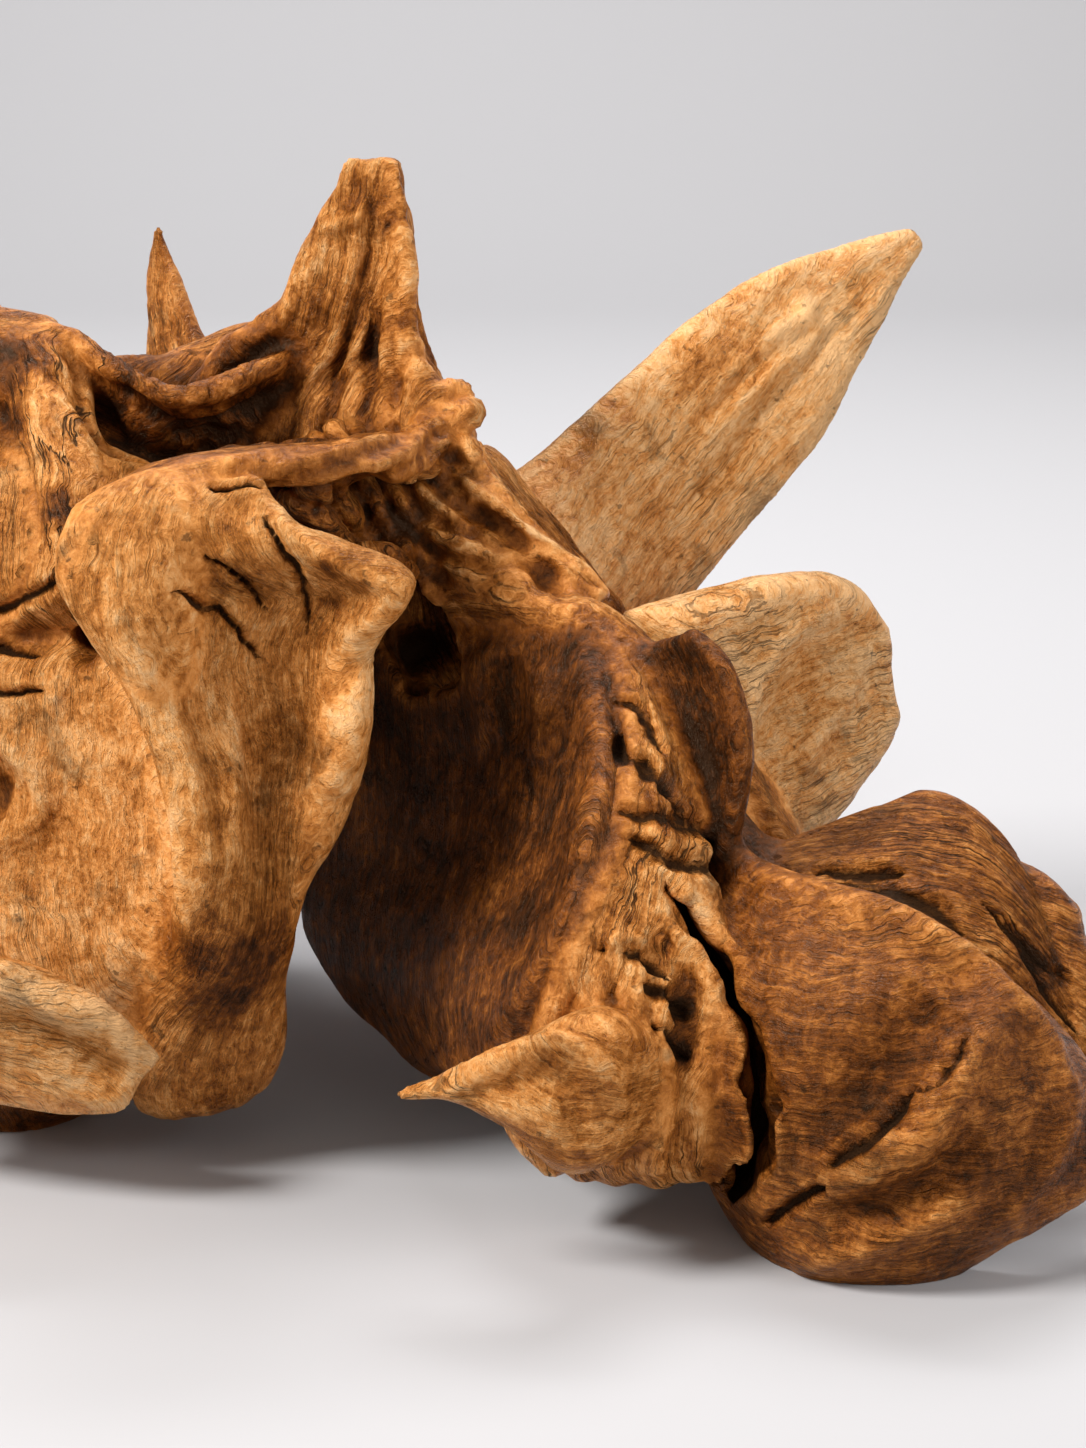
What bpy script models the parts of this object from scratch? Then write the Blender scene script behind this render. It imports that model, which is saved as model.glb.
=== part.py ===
"""A dry, weathered tree root: one solid piece of wood, standing on four cut feet.

The root is made of limbs that run out of a knotted crown. Each limb is a sheet of wood between two
edges: a horn, a blade, a folded ear or a hollow scoop. The limbs overlap, and a voxel remesh grows
them into one closed body, which a ground block cuts flat where it stands.

Run it with: blender --background --python part.py
"""

import math
from collections import namedtuple

import bmesh
import bpy
import numpy as np
from mathutils import Vector

MM = 0.001

# Driving dimensions, in millimetres.
ORIGIN = (-99.6, 3.6, 0.0)     # where the middle of the base lies among the limbs' coordinates
VOXEL = 5.0                     # how finely the limbs grow together
SMOOTH_STEPS = 5                # rounds the creases between limbs
TRIANGLES = 10000               # of the finished solid
GROUND_SIZE = 1200.0            # the block that cuts the feet flat

ASKANCE = Vector((0.3, 1.0, 0.2))   # a direction that no round limb runs in
RIB_HEIGHT = 1.28                   # how far out a rib's top lies, in thicknesses of its sheet

# One row of a limb: its two edges, how far its middle bellies out of the line between them, and
# half of its thickness there. Belly is positive towards the cross product of the way along the limb
# and the way from edge a to edge b.
Row = namedtuple("Row", "a b belly thick")


def limb(*rows, taper=0.45):
    """A sheet of wood through these rows. Taper is how much thinner its edges are than its middle."""
    return [Row(Vector(a), Vector(b), belly, thick) for a, b, belly, thick in rows], taper


def rope(*points):
    """A round limb through these points, each (x, y, z, radius)."""
    places = [Vector(point[:3]) for point in points]
    rows = []
    for k, (*_, radius) in enumerate(points):
        step = places[min(k + 1, len(points) - 1)] - places[max(k - 1, 0)]
        side = step.cross(ASKANCE).normalized() * radius
        rows.append(Row(places[k] - side, places[k] + side, 0.0, radius))
    return rows, 0.0


def strands(name, count, radius, turns, *points):
    """Round strands that twist about a path: each of its points is (x, y, z, how far out they lie)."""
    places = [Vector(point[:3]) for point in points]
    made = {}
    for number in range(count):
        path = []
        for k, (*_, spread) in enumerate(points):
            step = (places[min(k + 1, len(points) - 1)] - places[max(k - 1, 0)]).normalized()
            side = step.cross(ASKANCE).normalized()
            turn = 2 * math.pi * (number / count + turns * k / len(points) / 2)
            away = side * math.cos(turn) + side.cross(step) * math.sin(turn)
            path.append((*(places[k] + away * spread), radius))
        made[name + "_" + str(number)] = rope(*path)
    return made


def ribs(name, sheet, places, share):
    """Round ribs along the front of a sheet, one for each place across it, from -1 to 1."""
    rows, _ = sheet
    middles = [(row.a + row.b) / 2 for row in rows]
    made = {}
    for number, place in enumerate(places):
        path = []
        for k, row in enumerate(rows):
            half = (row.b - row.a) / 2
            step = middles[min(k + 1, len(rows) - 1)] - middles[max(k - 1, 0)]
            rise = row.belly * (1 - place**2) + row.thick * (RIB_HEIGHT - share)
            spot = middles[k] + half * place + step.cross(half).normalized() * rise
            path.append((*spot, row.thick * share))
        made[name + "_" + str(number)] = rope(*path)
    return made


# The two furrowed limbs, in millimetres: x to the right, y to the back, z up from the ground.
HORN = limb(
    ((-80, 34, 412), (-62, 30, 413), 0, 7),
    ((-89, 36, 392), (-58, 28, 392), -1, 9),
    ((-99, 36, 368), (-55, 26, 366), -3, 11),
    ((-112, 36, 346), (-54, 24, 340), -6, 13),
    ((-134, 40, 330), (-48, 22, 318), -10, 17),
    ((-150, 50, 304), (-36, 20, 296), -8, 26),
    ((-150, 60, 260), (-20, 30, 255), 0, 38),
    taper=0.1,
)
TORSO = limb(
    ((24, -54, 222), (44, -64, 208), 0, 12),
    ((28, -94, 190), (54, -92, 168), 2, 14),
    ((25, -124, 160), (58, -118, 138), 4, 15),
    ((15, -142, 128), (66, -140, 112), 8, 16),
    ((0, -150, 94), (76, -156, 84), 12, 16),
    ((-12, -148, 58), (80, -160, 52), 14, 18),
    ((4, -144, 34), (72, -150, 34), 8, 15),
    taper=0.35,
)

# All the limbs, in the same coordinates.
LIMBS = {
    # ---- the front left ear: a folded flap under a thin lip, that narrows and runs down to a foot
    "ear": limb(
        ((-158, -112, 301), (-112, -108, 303), 0, 6),
        ((-184, -128, 288), (-100, -120, 289), -4, 8),
        ((-187, -134, 268), (-76, -126, 277), -14, 8),
        ((-174, -138, 246), (-50, -122, 262), -20, 8),
        ((-158, -134, 218), (-74, -112, 234), -20, 10),
        ((-141, -140, 184), (-74, -116, 200), -26, 12),
        ((-134, -143, 150), (-81, -112, 158), -20, 15),
        ((-142, -132, 114), (-100, -97, 126), -6, 17),
        ((-166, -108, 80), (-111, -82, 92), 2, 20),
        ((-178, -90, 50), (-113, -72, 55), 4, 22),
        ((-174, -78, 22), (-124, -60, 24), 2, 18),
        taper=0.0,
    ),
    "ear_burl": limb(
        ((-168, -108, 300), (-136, -104, 302), 0, 8),
        ((-186, -118, 286), (-136, -118, 288), 5, 12),
        ((-190, -122, 266), (-138, -124, 262), 7, 15),
        ((-180, -124, 246), (-140, -126, 236), 4, 12),
        ((-164, -124, 226), (-142, -126, 218), 0, 8),
    ),
    "ear_lip": limb(
        ((-186, -122, 287), (-168, -84, 290), 0, 5),
        ((-170, -118, 299), (-156, -70, 298), 0, 4),
        ((-140, -114, 305), (-132, -60, 300), 2, 4),
        ((-106, -102, 306), (-104, -46, 300), 2, 4),
        ((-76, -80, 301), (-84, -28, 298), 2, 5),
        ((-52, -50, 295), (-66, -8, 298), 0, 7),
        taper=0.0,
    ),
    **strands(
        "lip_strand", 4, 3.6, 2.2, (-150, -104, 302, 3), (-118, -100, 305, 4.5), (-90, -84, 304, 6),
        (-66, -58, 300, 7), (-52, -24, 298, 7),
    ),
    "lip_root": limb(
        ((-165, -70, 296), (-80, -24, 300), 0, 8),
        ((-160, -50, 280), (-84, -10, 284), 0, 14),
        ((-155, -40, 250), (-90, -10, 255), 0, 16),
    ),
    "ear_back": limb(
        ((-156, -62, 285), (-118, -56, 288), 0, 18),
        ((-148, -70, 240), (-96, -50, 242), 0, 24),
        ((-140, -72, 170), (-94, -54, 180), 0, 28),
        ((-165, -56, 90), (-118, -40, 100), 0, 30),
    ),
    # ---- the smooth bowl left of the ear, and the slab above it
    "bowl": limb(
        ((-315, -20, 226), (-165, -50, 226), -10, 24),
        ((-330, -60, 182), (-148, -84, 194), -36, 24),
        ((-332, -92, 138), (-140, -104, 150), -42, 24),
        ((-318, -112, 100), (-146, -108, 108), -30, 26),
        ((-290, -112, 72), (-160, -96, 78), -8, 26),
        ((-270, -100, 50), (-170, -86, 50), 0, 20),
    ),
    "slab": limb(
        ((-320, 40, 292), (-160, 10, 276), 8, 24),
        ((-325, 10, 255), (-140, -20, 256), 12, 28),
        ((-325, -10, 215), (-140, -40, 218), 6, 30),
    ),
    # ---- the tongue at the lower left, with a ragged tip
    "tongue": limb(
        ((-164, -140, 58), (-154, -142, 70), 0, 4),
        ((-174, -138, 44), (-178, -146, 90), 4, 9),
        ((-196, -134, 42), (-202, -152, 107), 8, 13),
        ((-226, -128, 44), (-228, -152, 114), 10, 16),
        ((-275, -108, 40), (-270, -140, 120), 10, 20),
    ),
    # ---- the wave: a curled lip over a deep hollow, and the twisted band left of it
    "wave": limb(
        ((-214, -24, 262), (-214, 22, 342), -24, 10),
        ((-184, -46, 272), (-184, 0, 329), -58, 6),
        ((-150, -38, 272), (-158, -8, 319), -68, 5),
        ((-122, -24, 272), (-132, -2, 322), -62, 7),
        ((-98, -6, 276), (-108, 20, 332), -38, 13),
        taper=0.1,
    ),
    "wave_back": limb(
        ((-215, 60, 322), (-100, 60, 318), 4, 14),
        ((-215, 90, 280), (-90, 90, 280), 6, 26),
    ),
    "band": limb(
        ((-236, 30, 336), (-200, 18, 334), 6, 11),
        ((-226, 0, 300), (-192, 2, 300), 12, 13),
        ((-220, -28, 262), (-182, -20, 260), 10, 17),
        ((-228, -45, 225), (-170, -40, 224), 4, 22),
    ),
    "brow": limb(
        ((-335, 30, 318), (-335, 56, 335), 0, 14),
        ((-290, 10, 306), (-290, 46, 341), 10, 14),
        ((-250, 4, 304), (-245, 38, 344), 10, 14),
        ((-215, 10, 310), (-210, 38, 341), 4, 12),
    ),
    "left_scoop": limb(
        ((-335, -30, 235), (-340, 0, 300), -30, 14),
        ((-290, -44, 236), (-292, -14, 304), -52, 12),
        ((-252, -34, 240), (-252, -12, 303), -46, 12),
        ((-228, -24, 250), (-230, 0, 300), -16, 14),
    ),
    # ---- the tall horn, its ribs and the knobs at its foot
    "horn": HORN,
    **ribs("horn_rib", HORN, (-0.94, -0.62, -0.34, -0.1, 0.3, 0.62, 0.92), 0.42),
    "knob_top": rope((-40, 10, 306, 8), (-36, 8, 317, 6), (-35, 8, 320, 5)),
    "knob_neck": rope((-44, 6, 320, 7), (-50, 4, 308, 9), (-52, -4, 292, 9)),
    "knob_side": rope((-44, 2, 300, 9), (-32, 0, 308, 7), (-27, 0, 305, 6)),
    "knob_low": rope((-48, 0, 292, 9), (-34, -6, 294, 7), (-30, -8, 284, 7), (-36, -8, 276, 7)),
    # ---- folds that run down from the knobs, and the ledge over the cavity
    **strands(
        "fold_bridge", 5, 4.2, 1.4, (-84, -58, 298, 7), (-64, -42, 296, 7.5), (-50, -18, 296, 8),
        (-48, 4, 302, 7.5),
    ),
    **strands(
        "fold_high", 7, 4.6, 1.1, (-48, 12, 298, 10), (-34, -4, 279, 10.5), (-12, -20, 256, 10),
        (8, -28, 243, 7.5), (24, -32, 231, 4.5),
    ),
    **strands(
        "fold_middle", 6, 4.4, 1.5, (-56, 2, 290, 10), (-46, -14, 268, 10.5), (-28, -24, 250, 9),
        (-4, -32, 240, 7),
    ),
    **strands(
        "fold_low", 6, 4.4, 1.6, (-68, 8, 290, 10), (-62, -14, 268, 10), (-56, -20, 250, 8),
        (-50, -18, 234, 6),
    ),
    **strands(
        "fold_inner", 6, 4.4, 0.9, (-88, 4, 296, 11), (-82, -18, 276, 10.5), (-76, -22, 258, 9),
        (-76, -20, 240, 6),
    ),
    **strands(
        "fold_under", 6, 4.4, 0.8, (-104, -72, 297, 10), (-86, -58, 280, 11), (-72, -42, 262, 11),
        (-62, -30, 244, 7.5),
    ),
    "fold_core_right": rope(
        (-48, 14, 296, 10), (-34, -1, 277, 11), (-12, -16, 254, 10), (12, -26, 239, 7),
    ),
    "fold_core_left": rope((-74, 12, 290, 14), (-68, -8, 268, 12), (-62, -12, 246, 10)),
    "fold_back": limb(
        ((-60, 60, 280), (-30, 10, 290), 0, 20),
        ((-40, 60, 230), (10, 0, 240), 0, 24),
        ((-10, 60, 190), (40, -10, 200), 0, 24),
    ),
    "ledge": rope(
        (-46, -2, 230, 10), (-28, -26, 234, 10), (-8, -40, 235, 10), (16, -54, 231, 10),
        (32, -60, 225, 9), (46, -64, 216, 6),
    ),
    # ---- the wing: a broad smooth sheet under the ledge
    "wing": limb(
        ((-78, 25, 215), (24, -64, 228), 2, 12),
        ((-92, 30, 158), (27, -110, 192), -12, 11),
        ((-102, 26, 110), (23, -142, 160), -16, 11),
        ((-108, 20, 72), (12, -158, 130), -14, 11),
        ((-88, -6, 46), (-6, -164, 96), -10, 12),
        ((-46, -58, 26), (-18, -154, 62), -6, 13),
    ),
    # ---- the torso right of the wing, down to the rounded toes
    "torso": TORSO,
    **ribs("torso_rib", TORSO, (-0.85, -0.5, -0.1, 0.3, 0.66, 0.92), 0.42),
    "core": limb(
        ((14, -22, 200), (70, -30, 190), 0, 24),
        ((24, -62, 150), (84, -50, 150), 0, 26),
        ((26, -84, 110), (112, -66, 116), 0, 26),
        ((20, -100, 70), (130, -90, 80), 0, 28),
        ((30, -108, 40), (126, -110, 44), 0, 26),
        ((50, -114, 18), (126, -124, 20), 0, 18),
    ),
    "beak": limb(
        ((-62, -206, 77), (-61, -206, 79), 0, 2),
        ((-36, -208, 78), (-34, -208, 90), 0, 7),
        ((-14, -208, 68), (-12, -208, 103), 3, 12),
        ((4, -204, 48), (8, -204, 112), 4, 16),
        ((20, -192, 44), (24, -192, 110), 0, 18),
        ((30, -170, 50), (34, -170, 100), 0, 20),
        taper=0.2,
    ),
    "scoop": limb(
        ((34, -58, 217), (62, -84, 236), 0, 5),
        ((30, -70, 203), (77, -100, 220), -7, 5),
        ((34, -86, 182), (83, -110, 194), -8, 5),
        ((42, -96, 163), (82, -112, 168), -6, 6),
        ((54, -100, 144), (78, -110, 144), 0, 8),
        taper=0.0,
    ),
    "scoop_back": limb(
        ((36, -44, 216), (60, -62, 228), 0, 12),
        ((36, -52, 196), (72, -72, 206), 0, 16),
        ((44, -60, 170), (76, -76, 176), 0, 18),
    ),
    # ---- the fan, behind the scoop
    "fan": limb(
        ((70, -50, 112), (34, -30, 228), 0, 18),
        ((98, -26, 110), (76, 6, 231), -10, 15),
        ((128, 12, 120), (112, 38, 229), -12, 13),
        ((152, 48, 136), (140, 66, 218), -8, 12),
        ((163, 68, 150), (158, 78, 194), -2, 9),
        taper=0.2,
    ),
    # ---- the long blade at the back right, and the thin spike at the back left
    "blade": limb(
        ((30, 60, 170), (-40, 60, 250), 0, 24),
        ((60, 84, 198), (6, 90, 280), -4, 16),
        ((91, 104, 230), (42, 114, 307), -6, 13),
        ((127, 130, 268), (78, 140, 333), -5, 11),
        ((150, 155, 304), (113, 165, 349), -3, 8),
        ((168, 180, 331), (142, 186, 354), 0, 6),
        ((183, 200, 353), (176, 202, 360), 0, 3),
        taper=0.6,
    ),
    "spike": limb(
        ((-190, 230, 358), (-186, 230, 358), 0, 2.5),
        ((-193, 228, 336), (-179, 230, 334), 0, 6),
        ((-193, 224, 312), (-169, 224, 308), 0, 9),
        ((-194, 212, 288), (-153, 212, 284), 0, 12),
        ((-196, 180, 250), (-130, 178, 246), 0, 18),
        ((-190, 120, 210), (-110, 120, 210), 0, 30),
    ),
    # ---- the right lobe: a thick rounded panel that reaches the ground, and the fin behind it
    "panel": limb(
        ((62, -104, 28), (56, -76, 134), 0, 14),
        ((78, -132, 6), (74, -92, 146), 4, 18),
        ((94, -170, -8), (92, -120, 146), 14, 20),
        ((118, -190, -12), (112, -138, 143), 28, 22),
        ((150, -194, -8), (136, -148, 139), 32, 22),
        ((180, -194, 8), (164, -152, 125), 20, 21),
        ((206, -192, 22), (190, -148, 98), 9, 18),
        ((224, -182, 32), (212, -148, 68), 2, 14),
        ((238, -168, 42), (224, -150, 52), 0, 8),
        taper=0.6,
    ),
    "panel_root": rope((70, -112, 66, 18), (78, -136, 40, 17), (88, -152, 20, 13)),
    "fin": limb(
        ((104, -118, 112), (90, -62, 126), 2, 12),
        ((130, -122, 112), (118, -52, 135), 2, 13),
        ((156, -124, 108), (144, -46, 146), 2, 14),
        ((180, -128, 96), (165, -42, 152), 2, 15),
        ((198, -130, 78), (185, -48, 144), -2, 15),
        ((210, -130, 62), (198, -54, 128), -2, 16),
        ((222, -126, 52), (212, -60, 121), 0, 16),
        ((236, -118, 46), (228, -68, 108), 0, 12),
    ),
    "fin_leg": limb(
        ((90, -100, 90), (150, -60, 110), 0, 24),
        ((110, -120, 60), (190, -70, 76), 0, 28),
        ((120, -150, 26), (190, -110, 36), 0, 22),
    ),
    # ---- the left side: a horn, a side lobe and a foot
    "left_horn": limb(
        ((-300, 122, 398), (-294, 120, 398), 0, 4),
        ((-294, 118, 376), (-272, 114, 374), 0, 9),
        ((-286, 106, 342), (-246, 104, 336), 0, 14),
        ((-290, 86, 306), (-225, 84, 300), 0, 20),
        ((-290, 70, 260), (-210, 70, 260), 0, 30),
    ),
    "left_lobe": limb(
        ((-296, -56, 66), (-296, 40, 290), -4, 26),
        ((-335, -70, 46), (-345, 30, 272), -24, 24),
        ((-372, -64, 40), (-385, 20, 238), -30, 20),
        ((-402, -44, 50), (-412, 10, 188), -20, 14),
        ((-418, -20, 80), (-420, 0, 132), -4, 8),
    ),
    "left_lobe_rim": rope(
        (-290, 40, 292, 12), (-345, 28, 272, 10), (-386, 20, 238, 9), (-413, 10, 188, 8), (-422, -8, 130, 8),
        (-414, -34, 74, 8), (-376, -62, 42, 10), (-332, -70, 46, 12), (-290, -60, 60, 14),
    ),
    "left_web": limb(
        ((-300, 66, 276), (-270, 84, 276), 2, 14),
        ((-336, 40, 222), (-286, 110, 218), 12, 14),
        ((-350, 22, 160), (-302, 134, 160), 16, 13),
        ((-346, 8, 108), (-314, 152, 108), 12, 12),
    ),
    "left_foot": limb(
        ((-290, -54, 90), (-170, -54, 90), 0, 32),
        ((-295, -44, 44), (-180, -44, 46), 0, 32),
        ((-285, -30, 8), (-195, -30, 14), 0, 28),
        ((-270, -26, -20), (-210, -26, -20), 0, 24),
    ),
    # ---- the crown that everything grows out of
    "crown": limb(
        ((-200, 110, 280), (-70, 90, 285), 0, 28),
        ((-205, 84, 240), (-30, 66, 245), 0, 42),
        ((-205, 62, 190), (10, 60, 190), 0, 46),
        ((-190, 60, 140), (50, 56, 130), 0, 40),
        ((-160, 80, 112), (70, 56, 92), 0, 28),
    ),
    # ---- the back: two legs and a flap
    "back_left_leg": limb(
        ((-240, 50, 270), (-150, 70, 280), 0, 36),
        ((-275, 84, 215), (-170, 112, 228), -8, 36),
        ((-302, 122, 150), (-206, 160, 158), -12, 33),
        ((-318, 156, 85), (-240, 190, 90), -10, 27),
        ((-328, 180, 30), (-262, 206, 32), -4, 21),
        ((-334, 192, -20), (-264, 216, -20), 0, 18),
    ),
    "back_left_ridge": rope(
        (-100, 54, 336, 12), (-160, 84, 304, 17), (-216, 116, 254, 18), (-252, 156, 180, 17),
        (-282, 190, 96, 14), (-300, 208, 20, 11), (-304, 212, -20, 10),
    ),
    "back_left_edge": rope(
        (-262, 52, 250, 16), (-290, 80, 200, 14), (-312, 116, 140, 13), (-326, 150, 80, 12),
        (-334, 178, 20, 10), (-336, 186, -20, 10),
    ),
    "back_right_leg": limb(
        ((-60, 70, 210), (50, 30, 190), 0, 40),
        ((-26, 104, 140), (84, 56, 130), -6, 36),
        ((16, 142, 78), (108, 90, 76), -6, 29),
        ((44, 170, 26), (118, 126, 26), 0, 23),
        ((54, 182, -20), (118, 142, -20), 0, 19),
    ),
    "back_right_ridge": rope(
        (-76, 52, 384, 8), (-74, 76, 322, 12), (-56, 100, 262, 16), (-18, 126, 198, 18),
        (26, 152, 128, 17), (58, 172, 60, 14), (72, 180, 0, 12), (74, 182, -20, 12),
    ),
    "back_right_edge": rope(
        (50, 20, 200, 16), (84, 50, 140, 15), (106, 84, 84, 13), (120, 118, 34, 12),
        (124, 132, -20, 11),
    ),
    "right_web": limb(
        ((58, 24, 180), (74, -26, 176), 2, 14),
        ((90, 50, 128), (108, -42, 128), 12, 14),
        ((108, 80, 82), (132, -70, 92), 16, 14),
        ((116, 96, 56), (144, -96, 66), 10, 12),
    ),
    "back_flap": limb(
        ((-180, 84, 296), (-70, 84, 296), -6, 24),
        ((-190, 130, 240), (-60, 130, 236), -18, 24),
        ((-182, 164, 176), (-66, 162, 166), -20, 22),
        ((-166, 180, 124), (-84, 176, 110), -10, 18),
        ((-150, 182, 92), (-104, 180, 84), 0, 12),
    ),
    "back_flap_ridge": rope(
        (-76, 50, 396, 8), (-84, 72, 346, 14), (-100, 104, 298, 17), (-118, 150, 244, 17),
        (-128, 184, 184, 14), (-128, 196, 128, 10), (-124, 192, 92, 7),
    ),
    "back_web_left": limb(
        ((-214, 106, 270), (-166, 100, 284), 4, 16),
        ((-226, 134, 212), (-184, 138, 228), 12, 15),
        ((-240, 160, 156), (-178, 166, 168), 16, 14),
        ((-252, 178, 112), (-160, 180, 116), 14, 12),
    ),
    "back_web_right": limb(
        ((-88, 92, 280), (-56, 88, 256), 4, 16),
        ((-78, 132, 226), (-24, 112, 192), 14, 15),
        ((-74, 164, 162), (8, 136, 134), 18, 14),
        ((-88, 178, 112), (30, 156, 92), 16, 12),
    ),
    "blade_root": rope(
        (-60, 80, 258, 16), (-6, 100, 238, 15), (44, 116, 258, 11), (88, 136, 296, 7),
        (124, 154, 327, 4),
    ),
}

# Hollows that are cut into the limbs.
HOLLOWS = {
    "cavity": rope(
        (-88, -84, 222, 9), (-74, -56, 220, 15), (-58, -14, 212, 22), (-40, 24, 198, 18),
    ),
    "cavity_high": rope((-62, -44, 240, 5), (-58, -24, 232, 9), (-50, 0, 222, 14)),
    "cavity_side": rope((-74, -48, 200, 6), (-62, -24, 196, 11), (-46, 4, 192, 14)),
    "cavity_low": rope(
        (-60, -34, 196, 8), (-40, -20, 200, 12), (-14, -20, 206, 12), (6, -30, 212, 7),
    ),
    "crevice": limb(
        ((46, -150, 149), (48, -88, 132), 0, 3),
        ((61, -172, 133), (63, -100, 108), 0, 4.5),
        ((75, -190, 112), (77, -112, 88), 0, 5),
        ((85, -206, 86), (85, -124, 62), 0, 5),
        ((87, -208, 60), (87, -134, 42), 0, 5),
        ((81, -208, 42), (83, -142, 26), 0, 4),
        ((73, -206, 30), (77, -150, 18), 0, 2.5),
        taper=0.2,
    ),
    "recess": rope(
        (-86, -118, 298, 5), (-78, -92, 286, 12), (-72, -62, 280, 15), (-64, -30, 268, 12),
    ),
    "left_hollow": rope((-300, -40, 285, 24), (-264, -34, 284, 22), (-238, -32, 284, 17)),
    "knot_hole": rope((-192, -80, 222, 6), (-186, -44, 222, 7), (-180, -16, 226, 7)),
}


def eased(samples):
    """Values from 0 to 1 that lie closer together towards both ends."""
    return 0.5 - 0.5 * np.cos(np.linspace(0.0, math.pi, samples))


def through(rows, places):
    """Catmull-Rom curve through the rows (one per whole number), read at these places."""
    ends = np.vstack([2 * rows[0] - rows[1], rows, 2 * rows[-1] - rows[-2]])
    span = np.clip(places.astype(int), 0, len(rows) - 2)
    t = (places - span)[:, None]
    p0, p1, p2, p3 = (ends[span + k] for k in range(4))
    return 0.5 * (
        2 * p1 + (p2 - p0) * t + (2 * p0 - 5 * p1 + 4 * p2 - p3) * t**2 + (3 * p1 - p0 - 3 * p2 + p3) * t**3
    )


def unit(vectors):
    return vectors / np.maximum(np.linalg.norm(vectors, axis=-1, keepdims=True), 1e-9)


def rounded(distance, radius):
    """How much of a sheet's thickness is left this far from its edge, so that the edge is round."""
    inside = np.clip(distance / radius, 0.0, 1.0)
    return np.sqrt(inside * (2.0 - inside))


def limb_grids(rows, taper, along=48, across=20):
    """The front and back surfaces of a limb, as two grids of points that meet at its edges."""
    table = np.array([[*row.a, *row.b, row.belly, row.thick] for row in rows], float)
    table = through(table, eased(along) * (len(rows) - 1))
    a, b, belly, thick = table[:, :3], table[:, 3:6], table[:, 6], np.maximum(table[:, 7], 0.5)
    middle, half = (a + b) / 2, (b - a) / 2
    step = np.gradient(middle, axis=0)
    out = unit(np.cross(step, half))
    u = (2 * eased(across) - 1)[None, :, None]
    sheet = middle[:, None] + u * half[:, None] + out[:, None] * (belly[:, None, None] * (1 - u**2))
    facing = unit(np.cross(np.gradient(sheet, axis=0), np.gradient(sheet, axis=1)))
    width = np.linalg.norm(half, axis=1)[:, None]
    travel = np.concatenate([[0.0], np.cumsum(np.linalg.norm(np.diff(middle, axis=0), axis=1))])
    to_end = np.minimum(travel, travel[-1] - travel)[:, None]
    radius = thick[:, None]
    deep = radius * (1 - taper * u[..., 0] ** 2)
    deep = deep * rounded((1 - abs(u[..., 0])) * width, np.minimum(radius, width)) * rounded(to_end, radius)
    return sheet + facing * deep[..., None], sheet - facing * deep[..., None]


def add_limb(mesh, rows, taper):
    """Adds one limb to the bmesh as a closed skin."""
    front, back = limb_grids(rows, taper)
    for grid, flip in ((front, True), (back, False)):
        count_v, count_u, _ = grid.shape
        points = (grid.reshape(-1, 3) - ORIGIN) * MM
        corners = [mesh.verts.new(point) for point in points]
        for v in range(count_v - 1):
            for u in range(count_u - 1):
                k = v * count_u + u
                face = [corners[k], corners[k + 1], corners[k + count_u + 1], corners[k + count_u]]
                mesh.faces.new(face[::-1] if flip else face)


def make_limbs(name, limbs, collection):
    """One object that holds all of these limbs, each a closed skin of its own."""
    mesh = bmesh.new()
    for rows, taper in limbs.values():
        skin = bmesh.new()
        add_limb(skin, rows, taper)
        bmesh.ops.remove_doubles(skin, verts=skin.verts, dist=0.0001)
        bmesh.ops.recalc_face_normals(skin, faces=skin.faces)
        held = bpy.data.meshes.new("limb")
        skin.to_mesh(held)
        skin.free()
        mesh.from_mesh(held)
        bpy.data.meshes.remove(held)
    data = bpy.data.meshes.new(name)
    mesh.to_mesh(data)
    mesh.free()
    made = bpy.data.objects.new(name, data)
    collection.objects.link(made)
    return made


def grow_together(obj):
    """Joins the overlapping skins into one."""
    grow = obj.modifiers.new("grow_together", "REMESH")
    grow.mode = "VOXEL"
    grow.voxel_size = VOXEL * MM


def cut_away(obj, cutter):
    cut = obj.modifiers.new("cut_" + cutter.name, "BOOLEAN")
    cut.operation = "DIFFERENCE"
    cut.object = cutter


def make_ground(collection):
    """The block under the root that cuts its feet flat."""
    bpy.ops.mesh.primitive_cube_add(size=1, location=(0, 0, -GROUND_SIZE * MM / 2))
    ground = bpy.context.object
    ground.name = "ground_cutter"
    ground.scale = (GROUND_SIZE * MM,) * 3
    ground.hide_render = True
    ground.display_type = "WIRE"
    for owner in ground.users_collection:
        owner.objects.unlink(ground)
    collection.objects.link(ground)
    return ground


def wood():
    """Dry brown wood with a soft polish."""
    material = bpy.data.materials.new("dry_wood")
    material.use_nodes = True
    shader = material.node_tree.nodes["Principled BSDF"]
    shader.inputs["Base Color"].default_value = (0.30, 0.13, 0.045, 1)
    shader.inputs["Roughness"].default_value = 0.5
    shader.inputs["Metallic"].default_value = 0.0
    return material


def main():
    for obj in list(bpy.data.objects):
        bpy.data.objects.remove(obj)
    parts = bpy.data.collections.new("dry_root")
    cutters = bpy.data.collections.new("cutters")
    bpy.context.scene.collection.children.link(parts)
    bpy.context.scene.collection.children.link(cutters)

    root = make_limbs("dry_root", LIMBS, parts)
    root.data.materials.append(wood())
    hollows = make_limbs("hollows", HOLLOWS, cutters)
    hollows.hide_render = True
    hollows.display_type = "WIRE"
    grow_together(root)
    grow_together(hollows)
    cut_away(root, hollows)
    grow_together(root)
    ease = root.modifiers.new("ease_creases", "SMOOTH")
    ease.factor = 0.5
    ease.iterations = SMOOTH_STEPS

    bpy.context.view_layer.update()
    graph = bpy.context.evaluated_depsgraph_get()
    faces = len(root.evaluated_get(graph).data.polygons)
    thin = root.modifiers.new("fewer_faces", "DECIMATE")
    thin.ratio = TRIANGLES / (2 * faces)
    cut_away(root, make_ground(cutters))


main()
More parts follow.
